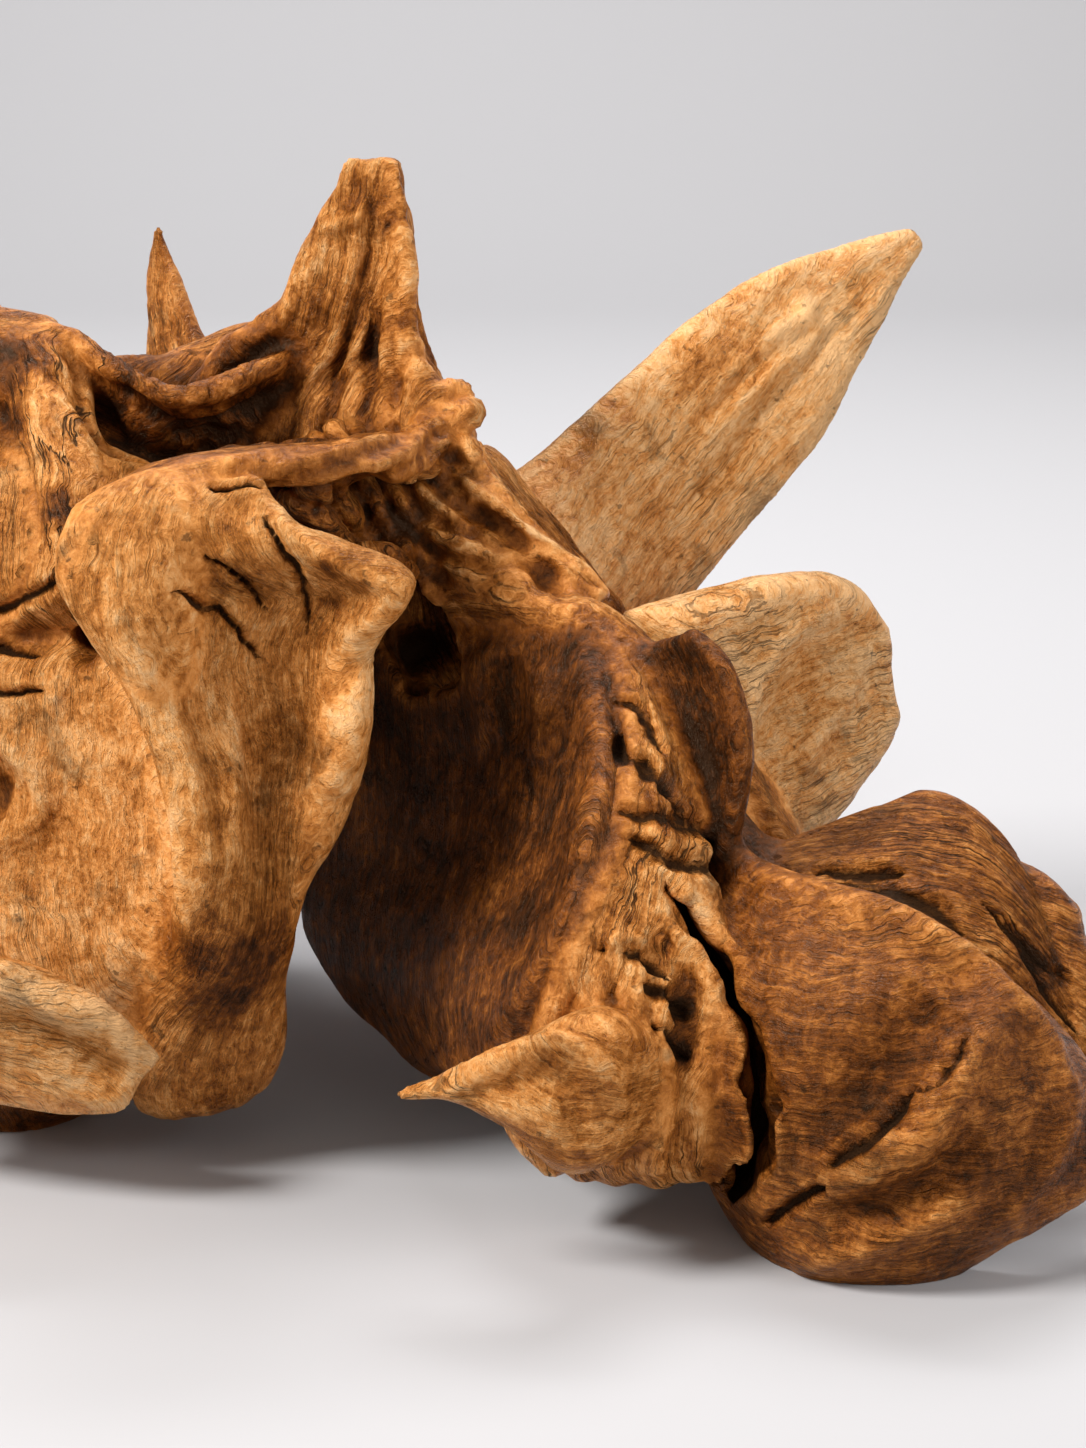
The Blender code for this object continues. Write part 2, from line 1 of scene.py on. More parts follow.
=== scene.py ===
"""Looks for the dry root: a finely grown wooden surface in place of the CAD solid, and a plain studio.

The wood is the same set of limbs as the CAD model, as distance fields that melt into each other. The
surface then gets flutes along the grain, drying cracks and pits, and notes on each point what its
material needs: where it lies along and across its limb, how much painted shade it gets in hollows
and how much painted highlight on rims and ridges.

Lengths are in millimetres in the limbs' own coordinates up to the last step.
"""

import math
from collections import namedtuple

import bpy
import numpy as np
import openvdb as vdb
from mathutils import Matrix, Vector
from mathutils.bvhtree import BVHTree

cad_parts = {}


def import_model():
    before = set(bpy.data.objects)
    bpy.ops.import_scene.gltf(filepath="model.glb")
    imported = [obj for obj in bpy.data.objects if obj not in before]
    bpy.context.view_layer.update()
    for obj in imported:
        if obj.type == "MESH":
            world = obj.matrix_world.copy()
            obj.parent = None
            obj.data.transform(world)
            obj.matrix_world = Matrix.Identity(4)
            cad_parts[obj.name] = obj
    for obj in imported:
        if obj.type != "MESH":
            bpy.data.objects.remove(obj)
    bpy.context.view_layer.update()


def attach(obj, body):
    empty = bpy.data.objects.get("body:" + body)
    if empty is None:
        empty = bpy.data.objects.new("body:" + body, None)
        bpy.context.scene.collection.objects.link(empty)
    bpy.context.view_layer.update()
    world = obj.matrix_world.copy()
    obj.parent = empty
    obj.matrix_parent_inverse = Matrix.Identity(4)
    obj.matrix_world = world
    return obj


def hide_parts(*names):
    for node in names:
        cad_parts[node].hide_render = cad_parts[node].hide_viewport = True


MM = 0.001
ORIGIN = np.array([-99.6, 3.6, 0.0])   # where the middle of the base lies among the limbs' coordinates

# How finely the wood is grown.
VOXEL = 2.0
BAND = 15.0                             # how far from a limb's surface its distance is known
HOLLOW_MELT = 2.5                       # how round the rims of the hollows are
HOLLOW_WOBBLE = 4.0                     # how far their walls stray
FIELD_LOW = np.array([-440.0, -250.0, -14.0])
FIELD_HIGH = np.array([252.0, 250.0, 430.0])
TRIANGLES = 420000

ASKANCE = Vector((0.3, 1.0, 0.2))   # a direction that no round limb runs in
RIB_HEIGHT = 1.28                   # how far out a rib's top lies, in thicknesses of its sheet

# One row of a limb: its two edges, how far its middle bellies out of the line between them, and
# half of its thickness there. Belly is positive towards the cross product of the way along the limb
# and the way from edge a to edge b.
Row = namedtuple("Row", "a b belly thick")


def limb(*rows, taper=0.45):
    """A sheet of wood through these rows. Taper is how much thinner its edges are than its middle."""
    return [Row(Vector(a), Vector(b), belly, thick) for a, b, belly, thick in rows], taper


def rope(*points):
    """A round limb through these points, each (x, y, z, radius)."""
    places = [Vector(point[:3]) for point in points]
    rows = []
    for k, (*_, radius) in enumerate(points):
        step = places[min(k + 1, len(points) - 1)] - places[max(k - 1, 0)]
        side = step.cross(ASKANCE).normalized() * radius
        rows.append(Row(places[k] - side, places[k] + side, 0.0, radius))
    return rows, 0.0


def strands(name, count, radius, turns, *points):
    """Round strands that twist about a path: each of its points is (x, y, z, how far out they lie)."""
    places = [Vector(point[:3]) for point in points]
    made = {}
    for number in range(count):
        path = []
        for k, (*_, spread) in enumerate(points):
            step = (places[min(k + 1, len(points) - 1)] - places[max(k - 1, 0)]).normalized()
            side = step.cross(ASKANCE).normalized()
            turn = 2 * math.pi * (number / count + turns * k / len(points) / 2)
            away = side * math.cos(turn) + side.cross(step) * math.sin(turn)
            path.append((*(places[k] + away * spread), radius))
        made[name + "_" + str(number)] = rope(*path)
    return made


def ribs(name, sheet, places, share):
    """Round ribs along the front of a sheet, one for each place across it, from -1 to 1."""
    rows, _ = sheet
    middles = [(row.a + row.b) / 2 for row in rows]
    made = {}
    for number, place in enumerate(places):
        path = []
        for k, row in enumerate(rows):
            half = (row.b - row.a) / 2
            step = middles[min(k + 1, len(rows) - 1)] - middles[max(k - 1, 0)]
            rise = row.belly * (1 - place**2) + row.thick * (RIB_HEIGHT - share)
            spot = middles[k] + half * place + step.cross(half).normalized() * rise
            path.append((*spot, row.thick * share))
        made[name + "_" + str(number)] = rope(*path)
    return made


# The two furrowed limbs, in millimetres: x to the right, y to the back, z up from the ground.
HORN = limb(
    ((-80, 34, 412), (-62, 30, 413), 0, 7),
    ((-89, 36, 392), (-58, 28, 392), -1, 9),
    ((-99, 36, 368), (-55, 26, 366), -3, 11),
    ((-112, 36, 346), (-54, 24, 340), -6, 13),
    ((-134, 40, 330), (-48, 22, 318), -10, 17),
    ((-150, 50, 304), (-36, 20, 296), -8, 26),
    ((-150, 60, 260), (-20, 30, 255), 0, 38),
    taper=0.1,
)
TORSO = limb(
    ((24, -54, 222), (44, -64, 208), 0, 12),
    ((28, -94, 190), (54, -92, 168), 2, 14),
    ((25, -124, 160), (58, -118, 138), 4, 15),
    ((15, -142, 128), (66, -140, 112), 8, 16),
    ((0, -150, 94), (76, -156, 84), 12, 16),
    ((-12, -148, 58), (80, -160, 52), 14, 18),
    ((4, -144, 34), (72, -150, 34), 8, 15),
    taper=0.35,
)

# All the limbs, in the same coordinates.
LIMBS = {
    # ---- the front left ear: a folded flap under a thin lip, that narrows and runs down to a foot
    "ear": limb(
        ((-158, -112, 301), (-112, -108, 303), 0, 6),
        ((-184, -128, 288), (-100, -120, 289), -4, 8),
        ((-187, -134, 268), (-76, -126, 277), -14, 8),
        ((-174, -138, 246), (-50, -122, 262), -20, 8),
        ((-158, -134, 218), (-74, -112, 234), -20, 10),
        ((-141, -140, 184), (-74, -116, 200), -26, 12),
        ((-134, -143, 150), (-81, -112, 158), -20, 15),
        ((-142, -132, 114), (-100, -97, 126), -6, 17),
        ((-166, -108, 80), (-111, -82, 92), 2, 20),
        ((-178, -90, 50), (-113, -72, 55), 4, 22),
        ((-174, -78, 22), (-124, -60, 24), 2, 18),
        taper=0.0,
    ),
    "ear_burl": limb(
        ((-168, -108, 300), (-136, -104, 302), 0, 8),
        ((-186, -118, 286), (-136, -118, 288), 5, 12),
        ((-190, -122, 266), (-138, -124, 262), 7, 15),
        ((-180, -124, 246), (-140, -126, 236), 4, 12),
        ((-164, -124, 226), (-142, -126, 218), 0, 8),
    ),
    "ear_lip": limb(
        ((-186, -122, 287), (-168, -84, 290), 0, 5),
        ((-170, -118, 299), (-156, -70, 298), 0, 4),
        ((-140, -114, 305), (-132, -60, 300), 2, 4),
        ((-106, -102, 306), (-104, -46, 300), 2, 4),
        ((-76, -80, 301), (-84, -28, 298), 2, 5),
        ((-52, -50, 295), (-66, -8, 298), 0, 7),
        taper=0.0,
    ),
    **strands(
        "lip_strand", 4, 3.6, 2.2, (-150, -104, 302, 3), (-118, -100, 305, 4.5), (-90, -84, 304, 6),
        (-66, -58, 300, 7), (-52, -24, 298, 7),
    ),
    "lip_root": limb(
        ((-165, -70, 296), (-80, -24, 300), 0, 8),
        ((-160, -50, 280), (-84, -10, 284), 0, 14),
        ((-155, -40, 250), (-90, -10, 255), 0, 16),
    ),
    "ear_back": limb(
        ((-156, -62, 285), (-118, -56, 288), 0, 18),
        ((-148, -70, 240), (-96, -50, 242), 0, 24),
        ((-140, -72, 170), (-94, -54, 180), 0, 28),
        ((-165, -56, 90), (-118, -40, 100), 0, 30),
    ),
    # ---- the smooth bowl left of the ear, and the slab above it
    "bowl": limb(
        ((-315, -20, 226), (-165, -50, 226), -10, 24),
        ((-330, -60, 182), (-148, -84, 194), -36, 24),
        ((-332, -92, 138), (-140, -104, 150), -42, 24),
        ((-318, -112, 100), (-146, -108, 108), -30, 26),
        ((-290, -112, 72), (-160, -96, 78), -8, 26),
        ((-270, -100, 50), (-170, -86, 50), 0, 20),
    ),
    "slab": limb(
        ((-320, 40, 292), (-160, 10, 276), 8, 24),
        ((-325, 10, 255), (-140, -20, 256), 12, 28),
        ((-325, -10, 215), (-140, -40, 218), 6, 30),
    ),
    # ---- the tongue at the lower left, with a ragged tip
    "tongue": limb(
        ((-164, -140, 58), (-154, -142, 70), 0, 4),
        ((-174, -138, 44), (-178, -146, 90), 4, 9),
        ((-196, -134, 42), (-202, -152, 107), 8, 13),
        ((-226, -128, 44), (-228, -152, 114), 10, 16),
        ((-275, -108, 40), (-270, -140, 120), 10, 20),
    ),
    # ---- the wave: a curled lip over a deep hollow, and the twisted band left of it
    "wave": limb(
        ((-214, -24, 262), (-214, 22, 342), -24, 10),
        ((-184, -46, 272), (-184, 0, 329), -58, 6),
        ((-150, -38, 272), (-158, -8, 319), -68, 5),
        ((-122, -24, 272), (-132, -2, 322), -62, 7),
        ((-98, -6, 276), (-108, 20, 332), -38, 13),
        taper=0.1,
    ),
    "wave_back": limb(
        ((-215, 60, 322), (-100, 60, 318), 4, 14),
        ((-215, 90, 280), (-90, 90, 280), 6, 26),
    ),
    "band": limb(
        ((-236, 30, 336), (-200, 18, 334), 6, 11),
        ((-226, 0, 300), (-192, 2, 300), 12, 13),
        ((-220, -28, 262), (-182, -20, 260), 10, 17),
        ((-228, -45, 225), (-170, -40, 224), 4, 22),
    ),
    "brow": limb(
        ((-335, 30, 318), (-335, 56, 335), 0, 14),
        ((-290, 10, 306), (-290, 46, 341), 10, 14),
        ((-250, 4, 304), (-245, 38, 344), 10, 14),
        ((-215, 10, 310), (-210, 38, 341), 4, 12),
    ),
    "left_scoop": limb(
        ((-335, -30, 235), (-340, 0, 300), -30, 14),
        ((-290, -44, 236), (-292, -14, 304), -52, 12),
        ((-252, -34, 240), (-252, -12, 303), -46, 12),
        ((-228, -24, 250), (-230, 0, 300), -16, 14),
    ),
    # ---- the tall horn, its ribs and the knobs at its foot
    "horn": HORN,
    **ribs("horn_rib", HORN, (-0.94, -0.62, -0.34, -0.1, 0.3, 0.62, 0.92), 0.42),
    "knob_top": rope((-40, 10, 306, 8), (-36, 8, 317, 6), (-35, 8, 320, 5)),
    "knob_neck": rope((-44, 6, 320, 7), (-50, 4, 308, 9), (-52, -4, 292, 9)),
    "knob_side": rope((-44, 2, 300, 9), (-32, 0, 308, 7), (-27, 0, 305, 6)),
    "knob_low": rope((-48, 0, 292, 9), (-34, -6, 294, 7), (-30, -8, 284, 7), (-36, -8, 276, 7)),
    # ---- folds that run down from the knobs, and the ledge over the cavity
    **strands(
        "fold_bridge", 5, 4.2, 1.4, (-84, -58, 298, 7), (-64, -42, 296, 7.5), (-50, -18, 296, 8),
        (-48, 4, 302, 7.5),
    ),
    **strands(
        "fold_high", 7, 4.6, 1.1, (-48, 12, 298, 10), (-34, -4, 279, 10.5), (-12, -20, 256, 10),
        (8, -28, 243, 7.5), (24, -32, 231, 4.5),
    ),
    **strands(
        "fold_middle", 6, 4.4, 1.5, (-56, 2, 290, 10), (-46, -14, 268, 10.5), (-28, -24, 250, 9),
        (-4, -32, 240, 7),
    ),
    **strands(
        "fold_low", 6, 4.4, 1.6, (-68, 8, 290, 10), (-62, -14, 268, 10), (-56, -20, 250, 8),
        (-50, -18, 234, 6),
    ),
    **strands(
        "fold_inner", 6, 4.4, 0.9, (-88, 4, 296, 11), (-82, -18, 276, 10.5), (-76, -22, 258, 9),
        (-76, -20, 240, 6),
    ),
    **strands(
        "fold_under", 6, 4.4, 0.8, (-104, -72, 297, 10), (-86, -58, 280, 11), (-72, -42, 262, 11),
        (-62, -30, 244, 7.5),
    ),
    "fold_core_right": rope(
        (-48, 14, 296, 10), (-34, -1, 277, 11), (-12, -16, 254, 10), (12, -26, 239, 7),
    ),
    "fold_core_left": rope((-74, 12, 290, 14), (-68, -8, 268, 12), (-62, -12, 246, 10)),
    "fold_back": limb(
        ((-60, 60, 280), (-30, 10, 290), 0, 20),
        ((-40, 60, 230), (10, 0, 240), 0, 24),
        ((-10, 60, 190), (40, -10, 200), 0, 24),
    ),
    "ledge": rope(
        (-46, -2, 230, 10), (-28, -26, 234, 10), (-8, -40, 235, 10), (16, -54, 231, 10),
        (32, -60, 225, 9), (46, -64, 216, 6),
    ),
    # ---- the wing: a broad smooth sheet under the ledge
    "wing": limb(
        ((-78, 25, 215), (24, -64, 228), 2, 12),
        ((-92, 30, 158), (27, -110, 192), -12, 11),
        ((-102, 26, 110), (23, -142, 160), -16, 11),
        ((-108, 20, 72), (12, -158, 130), -14, 11),
        ((-88, -6, 46), (-6, -164, 96), -10, 12),
        ((-46, -58, 26), (-18, -154, 62), -6, 13),
    ),
    # ---- the torso right of the wing, down to the rounded toes
    "torso": TORSO,
    **ribs("torso_rib", TORSO, (-0.85, -0.5, -0.1, 0.3, 0.66, 0.92), 0.42),
    "core": limb(
        ((14, -22, 200), (70, -30, 190), 0, 24),
        ((24, -62, 150), (84, -50, 150), 0, 26),
        ((26, -84, 110), (112, -66, 116), 0, 26),
        ((20, -100, 70), (130, -90, 80), 0, 28),
        ((30, -108, 40), (126, -110, 44), 0, 26),
        ((50, -114, 18), (126, -124, 20), 0, 18),
    ),
    "beak": limb(
        ((-62, -206, 77), (-61, -206, 79), 0, 2),
        ((-36, -208, 78), (-34, -208, 90), 0, 7),
        ((-14, -208, 68), (-12, -208, 103), 3, 12),
        ((4, -204, 48), (8, -204, 112), 4, 16),
        ((20, -192, 44), (24, -192, 110), 0, 18),
        ((30, -170, 50), (34, -170, 100), 0, 20),
        taper=0.2,
    ),
    "scoop": limb(
        ((34, -58, 217), (62, -84, 236), 0, 5),
        ((30, -70, 203), (77, -100, 220), -7, 5),
        ((34, -86, 182), (83, -110, 194), -8, 5),
        ((42, -96, 163), (82, -112, 168), -6, 6),
        ((54, -100, 144), (78, -110, 144), 0, 8),
        taper=0.0,
    ),
    "scoop_back": limb(
        ((36, -44, 216), (60, -62, 228), 0, 12),
        ((36, -52, 196), (72, -72, 206), 0, 16),
        ((44, -60, 170), (76, -76, 176), 0, 18),
    ),
    # ---- the fan, behind the scoop
    "fan": limb(
        ((70, -50, 112), (34, -30, 228), 0, 18),
        ((98, -26, 110), (76, 6, 231), -10, 15),
        ((128, 12, 120), (112, 38, 229), -12, 13),
        ((152, 48, 136), (140, 66, 218), -8, 12),
        ((163, 68, 150), (158, 78, 194), -2, 9),
        taper=0.2,
    ),
    # ---- the long blade at the back right, and the thin spike at the back left
    "blade": limb(
        ((30, 60, 170), (-40, 60, 250), 0, 24),
        ((60, 84, 198), (6, 90, 280), -4, 16),
        ((91, 104, 230), (42, 114, 307), -6, 13),
        ((127, 130, 268), (78, 140, 333), -5, 11),
        ((150, 155, 304), (113, 165, 349), -3, 8),
        ((168, 180, 331), (142, 186, 354), 0, 6),
        ((183, 200, 353), (176, 202, 360), 0, 3),
        taper=0.6,
    ),
    "spike": limb(
        ((-190, 230, 358), (-186, 230, 358), 0, 2.5),
        ((-193, 228, 336), (-179, 230, 334), 0, 6),
        ((-193, 224, 312), (-169, 224, 308), 0, 9),
        ((-194, 212, 288), (-153, 212, 284), 0, 12),
        ((-196, 180, 250), (-130, 178, 246), 0, 18),
        ((-190, 120, 210), (-110, 120, 210), 0, 30),
    ),
    # ---- the right lobe: a thick rounded panel that reaches the ground, and the fin behind it
    "panel": limb(
        ((62, -104, 28), (56, -76, 134), 0, 14),
        ((78, -132, 6), (74, -92, 146), 4, 18),
        ((94, -170, -8), (92, -120, 146), 14, 20),
        ((118, -190, -12), (112, -138, 143), 28, 22),
        ((150, -194, -8), (136, -148, 139), 32, 22),
        ((180, -194, 8), (164, -152, 125), 20, 21),
        ((206, -192, 22), (190, -148, 98), 9, 18),
        ((224, -182, 32), (212, -148, 68), 2, 14),
        ((238, -168, 42), (224, -150, 52), 0, 8),
        taper=0.6,
    ),
    "panel_root": rope((70, -112, 66, 18), (78, -136, 40, 17), (88, -152, 20, 13)),
    "fin": limb(
        ((104, -118, 112), (90, -62, 126), 2, 12),
        ((130, -122, 112), (118, -52, 135), 2, 13),
        ((156, -124, 108), (144, -46, 146), 2, 14),
        ((180, -128, 96), (165, -42, 152), 2, 15),
        ((198, -130, 78), (185, -48, 144), -2, 15),
        ((210, -130, 62), (198, -54, 128), -2, 16),
        ((222, -126, 52), (212, -60, 121), 0, 16),
        ((236, -118, 46), (228, -68, 108), 0, 12),
    ),
    "fin_leg": limb(
        ((90, -100, 90), (150, -60, 110), 0, 24),
        ((110, -120, 60), (190, -70, 76), 0, 28),
        ((120, -150, 26), (190, -110, 36), 0, 22),
    ),
    # ---- the left side: a horn, a side lobe and a foot
    "left_horn": limb(
        ((-300, 122, 398), (-294, 120, 398), 0, 4),
        ((-294, 118, 376), (-272, 114, 374), 0, 9),
        ((-286, 106, 342), (-246, 104, 336), 0, 14),
        ((-290, 86, 306), (-225, 84, 300), 0, 20),
        ((-290, 70, 260), (-210, 70, 260), 0, 30),
    ),
    "left_lobe": limb(
        ((-296, -56, 66), (-296, 40, 290), -4, 26),
        ((-335, -70, 46), (-345, 30, 272), -24, 24),
        ((-372, -64, 40), (-385, 20, 238), -30, 20),
        ((-402, -44, 50), (-412, 10, 188), -20, 14),
        ((-418, -20, 80), (-420, 0, 132), -4, 8),
    ),
    "left_lobe_rim": rope(
        (-290, 40, 292, 12), (-345, 28, 272, 10), (-386, 20, 238, 9), (-413, 10, 188, 8), (-422, -8, 130, 8),
        (-414, -34, 74, 8), (-376, -62, 42, 10), (-332, -70, 46, 12), (-290, -60, 60, 14),
    ),
    "left_web": limb(
        ((-300, 66, 276), (-270, 84, 276), 2, 14),
        ((-336, 40, 222), (-286, 110, 218), 12, 14),
        ((-350, 22, 160), (-302, 134, 160), 16, 13),
        ((-346, 8, 108), (-314, 152, 108), 12, 12),
    ),
    "left_foot": limb(
        ((-290, -54, 90), (-170, -54, 90), 0, 32),
        ((-295, -44, 44), (-180, -44, 46), 0, 32),
        ((-285, -30, 8), (-195, -30, 14), 0, 28),
        ((-270, -26, -20), (-210, -26, -20), 0, 24),
    ),
    # ---- the crown that everything grows out of
    "crown": limb(
        ((-200, 110, 280), (-70, 90, 285), 0, 28),
        ((-205, 84, 240), (-30, 66, 245), 0, 42),
        ((-205, 62, 190), (10, 60, 190), 0, 46),
        ((-190, 60, 140), (50, 56, 130), 0, 40),
        ((-160, 80, 112), (70, 56, 92), 0, 28),
    ),
    # ---- the back: two legs and a flap
    "back_left_leg": limb(
        ((-240, 50, 270), (-150, 70, 280), 0, 36),
        ((-275, 84, 215), (-170, 112, 228), -8, 36),
        ((-302, 122, 150), (-206, 160, 158), -12, 33),
        ((-318, 156, 85), (-240, 190, 90), -10, 27),
        ((-328, 180, 30), (-262, 206, 32), -4, 21),
        ((-334, 192, -20), (-264, 216, -20), 0, 18),
    ),
    "back_left_ridge": rope(
        (-100, 54, 336, 12), (-160, 84, 304, 17), (-216, 116, 254, 18), (-252, 156, 180, 17),
        (-282, 190, 96, 14), (-300, 208, 20, 11), (-304, 212, -20, 10),
    ),
    "back_left_edge": rope(
        (-262, 52, 250, 16), (-290, 80, 200, 14), (-312, 116, 140, 13), (-326, 150, 80, 12),
        (-334, 178, 20, 10), (-336, 186, -20, 10),
    ),
    "back_right_leg": limb(
        ((-60, 70, 210), (50, 30, 190), 0, 40),
        ((-26, 104, 140), (84, 56, 130), -6, 36),
        ((16, 142, 78), (108, 90, 76), -6, 29),
        ((44, 170, 26), (118, 126, 26), 0, 23),
        ((54, 182, -20), (118, 142, -20), 0, 19),
    ),
    "back_right_ridge": rope(
        (-76, 52, 384, 8), (-74, 76, 322, 12), (-56, 100, 262, 16), (-18, 126, 198, 18),
        (26, 152, 128, 17), (58, 172, 60, 14), (72, 180, 0, 12), (74, 182, -20, 12),
    ),
    "back_right_edge": rope(
        (50, 20, 200, 16), (84, 50, 140, 15), (106, 84, 84, 13), (120, 118, 34, 12),
        (124, 132, -20, 11),
    ),
    "right_web": limb(
        ((58, 24, 180), (74, -26, 176), 2, 14),
        ((90, 50, 128), (108, -42, 128), 12, 14),
        ((108, 80, 82), (132, -70, 92), 16, 14),
        ((116, 96, 56), (144, -96, 66), 10, 12),
    ),
    "back_flap": limb(
        ((-180, 84, 296), (-70, 84, 296), -6, 24),
        ((-190, 130, 240), (-60, 130, 236), -18, 24),
        ((-182, 164, 176), (-66, 162, 166), -20, 22),
        ((-166, 180, 124), (-84, 176, 110), -10, 18),
        ((-150, 182, 92), (-104, 180, 84), 0, 12),
    ),
    "back_flap_ridge": rope(
        (-76, 50, 396, 8), (-84, 72, 346, 14), (-100, 104, 298, 17), (-118, 150, 244, 17),
        (-128, 184, 184, 14), (-128, 196, 128, 10), (-124, 192, 92, 7),
    ),
    "back_web_left": limb(
        ((-214, 106, 270), (-166, 100, 284), 4, 16),
        ((-226, 134, 212), (-184, 138, 228), 12, 15),
        ((-240, 160, 156), (-178, 166, 168), 16, 14),
        ((-252, 178, 112), (-160, 180, 116), 14, 12),
    ),
    "back_web_right": limb(
        ((-88, 92, 280), (-56, 88, 256), 4, 16),
        ((-78, 132, 226), (-24, 112, 192), 14, 15),
        ((-74, 164, 162), (8, 136, 134), 18, 14),
        ((-88, 178, 112), (30, 156, 92), 16, 12),
    ),
    "blade_root": rope(
        (-60, 80, 258, 16), (-6, 100, 238, 15), (44, 116, 258, 11), (88, 136, 296, 7),
        (124, 154, 327, 4),
    ),
}

# Hollows that are cut into the limbs.
HOLLOWS = {
    "cavity": rope(
        (-88, -84, 222, 9), (-74, -56, 220, 15), (-58, -14, 212, 22), (-40, 24, 198, 18),
    ),
    "cavity_high": rope((-62, -44, 240, 5), (-58, -24, 232, 9), (-50, 0, 222, 14)),
    "cavity_side": rope((-74, -48, 200, 6), (-62, -24, 196, 11), (-46, 4, 192, 14)),
    "cavity_low": rope(
        (-60, -34, 196, 8), (-40, -20, 200, 12), (-14, -20, 206, 12), (6, -30, 212, 7),
    ),
    "crevice": limb(
        ((46, -150, 149), (48, -88, 132), 0, 3),
        ((61, -172, 133), (63, -100, 108), 0, 4.5),
        ((75, -190, 112), (77, -112, 88), 0, 5),
        ((85, -206, 86), (85, -124, 62), 0, 5),
        ((87, -208, 60), (87, -134, 42), 0, 5),
        ((81, -208, 42), (83, -142, 26), 0, 4),
        ((73, -206, 30), (77, -150, 18), 0, 2.5),
        taper=0.2,
    ),
    "recess": rope(
        (-86, -118, 298, 5), (-78, -92, 286, 12), (-72, -62, 280, 15), (-64, -30, 268, 12),
    ),
    "left_hollow": rope((-300, -40, 285, 24), (-264, -34, 284, 22), (-238, -32, 284, 17)),
    "knot_hole": rope((-192, -80, 222, 6), (-186, -44, 222, 7), (-180, -16, 226, 7)),
}

# How furrowed each limb's surface is, from 0, worn smooth, to 1.
OTHERS_FURROWED = 0.35
FURROWED = {
    "horn": 0.9, "knob": 1.0, "fold": 1.0, "ledge": 0.9, "lip_root": 0.8, "ear_lip": 0.6,
    "wave": 0.7, "band": 0.7, "brow": 0.6, "left_scoop": 0.6, "torso": 0.7, "crown": 0.8, "core": 0.5,
    "fin": 0.6, "spike": 0.5, "left_horn": 0.6, "bowl": 0.15, "wing": 0.2, "panel": 0.25, "tongue": 0.2,
    "scoop": 0.3,
}

# How light each limb is, from 0, dark brown, to 1, tan: mostly the wood's own colour, but where a limb lies
# in shade, as the wing under the ledge and the inside of the scoop, its low value is partly painted shade.
OTHERS_TONE = 0.6
TONE_AND_SHADE = {
    "wing": 0.23, "scoop": 0.10, "panel": 0.38, "core": 0.1, "fin": 0.46, "beak": 0.68, "torso": 0.70,
    "bowl": 0.88, "tongue": 0.92, "slab": 0.72, "ear": 0.74, "ear_burl": 0.78, "ear_lip": 0.54,
    "lip_strand": 0.5, "lip_root": 0.2, "ear_back": 0.2, "fan": 1.08, "blade": 1.02, "horn": 0.56,
    "crown": 0.35, "left_foot": 0.3, "fold": 0.5, "fold_low": 0.36, "fold_inner": 0.3,
    "fold_under": 0.22, "fold_high": 0.62, "knob": 0.66, "wave": 0.2, "wave_back": 0.5, "band": 0.72,
    "brow": 0.7, "left_horn": 0.85,
}

CRACK_DEPTH, CRACK_RIM = 4.5, 0.8   # how deep the cracks are, and how far their rims stand up
FAR_FROM_CRACKS = 6.0               # how far across the cracks they are looked for, in half widths

# Drying cracks: half their width, then the points they run through.
CRACKS = {
    "ear_long": (
        1.1, (-110, -127, 292), (-104, -130, 278), (-98, -128, 268), (-95, -120, 254),
        (-97, -116, 236),
    ),
    "ear_top": (1.2, (-134, -116, 300), (-122, -116, 301), (-107, -112, 301)),
    "ear_low": (1.0, (-147, -139, 264), (-131, -125, 253), (-119, -118, 240), (-110, -114, 228)),
    "ear_fine": (0.7, (-134, -129, 277), (-121, -124, 266), (-110, -118, 249)),
    "slab": (1.7, (-240, -48, 230), (-227, -50, 235), (-209, -58, 245), (-188, -80, 262)),
    "slab_low": (1.2, (-240, -48, 220), (-228, -49, 218), (-210, -56, 216)),
    "slab_foot": (1.2, (-240, -60, 200), (-226, -62, 201), (-210, -65, 203)),
    "gash_high": (1.8, (31, -92, 206), (39, -98, 200), (48, -109, 187)),
    "gash_a": (2.2, (31, -106, 195), (36, -117, 185), (50, -121, 173)),
    "gash_b": (1.8, (40, -113, 188), (47, -123, 174), (60, -124, 160)),
    "gash_c": (2.6, (31, -133, 170), (45, -132, 166), (70, -109, 151)),
    "gash_d": (2.4, (34, -141, 162), (55, -140, 150), (72, -117, 144)),
    "gash_e": (2.0, (23, -166, 124), (39, -168, 122), (52, -170, 115)),
    "gash_f": (2.6, (38, -174, 113), (51, -174, 108), (60, -175, 98)),
    "gash_g": (2.0, (42, -181, 100), (57, -180, 85)),
    "panel_high": (1.5, (163, -207, 103), (158, -215, 90), (147, -221, 78)),
    "panel_middle": (2.0, (141, -217, 93), (132, -222, 78), (118, -222, 65), (107, -219, 56)),
    "panel_low": (1.6, (110, -219, 47), (98, -208, 34), (87, -196, 20)),
    "panel_foot": (1.2, (78, -182, 32), (68, -165, 26)),
    "fin_high": (2.4, (112, -98, 134), (128, -100, 136), (148, -102, 135)),
    "fin": (3.0, (121, -105, 133), (149, -112, 129), (172, -122, 116)),
    "fin_end": (2.2, (190, -113, 115), (207, -119, 93), (220, -124, 74)),
    "fin_edge": (1.4, (178, -108, 124), (200, -112, 108), (222, -118, 92)),
}

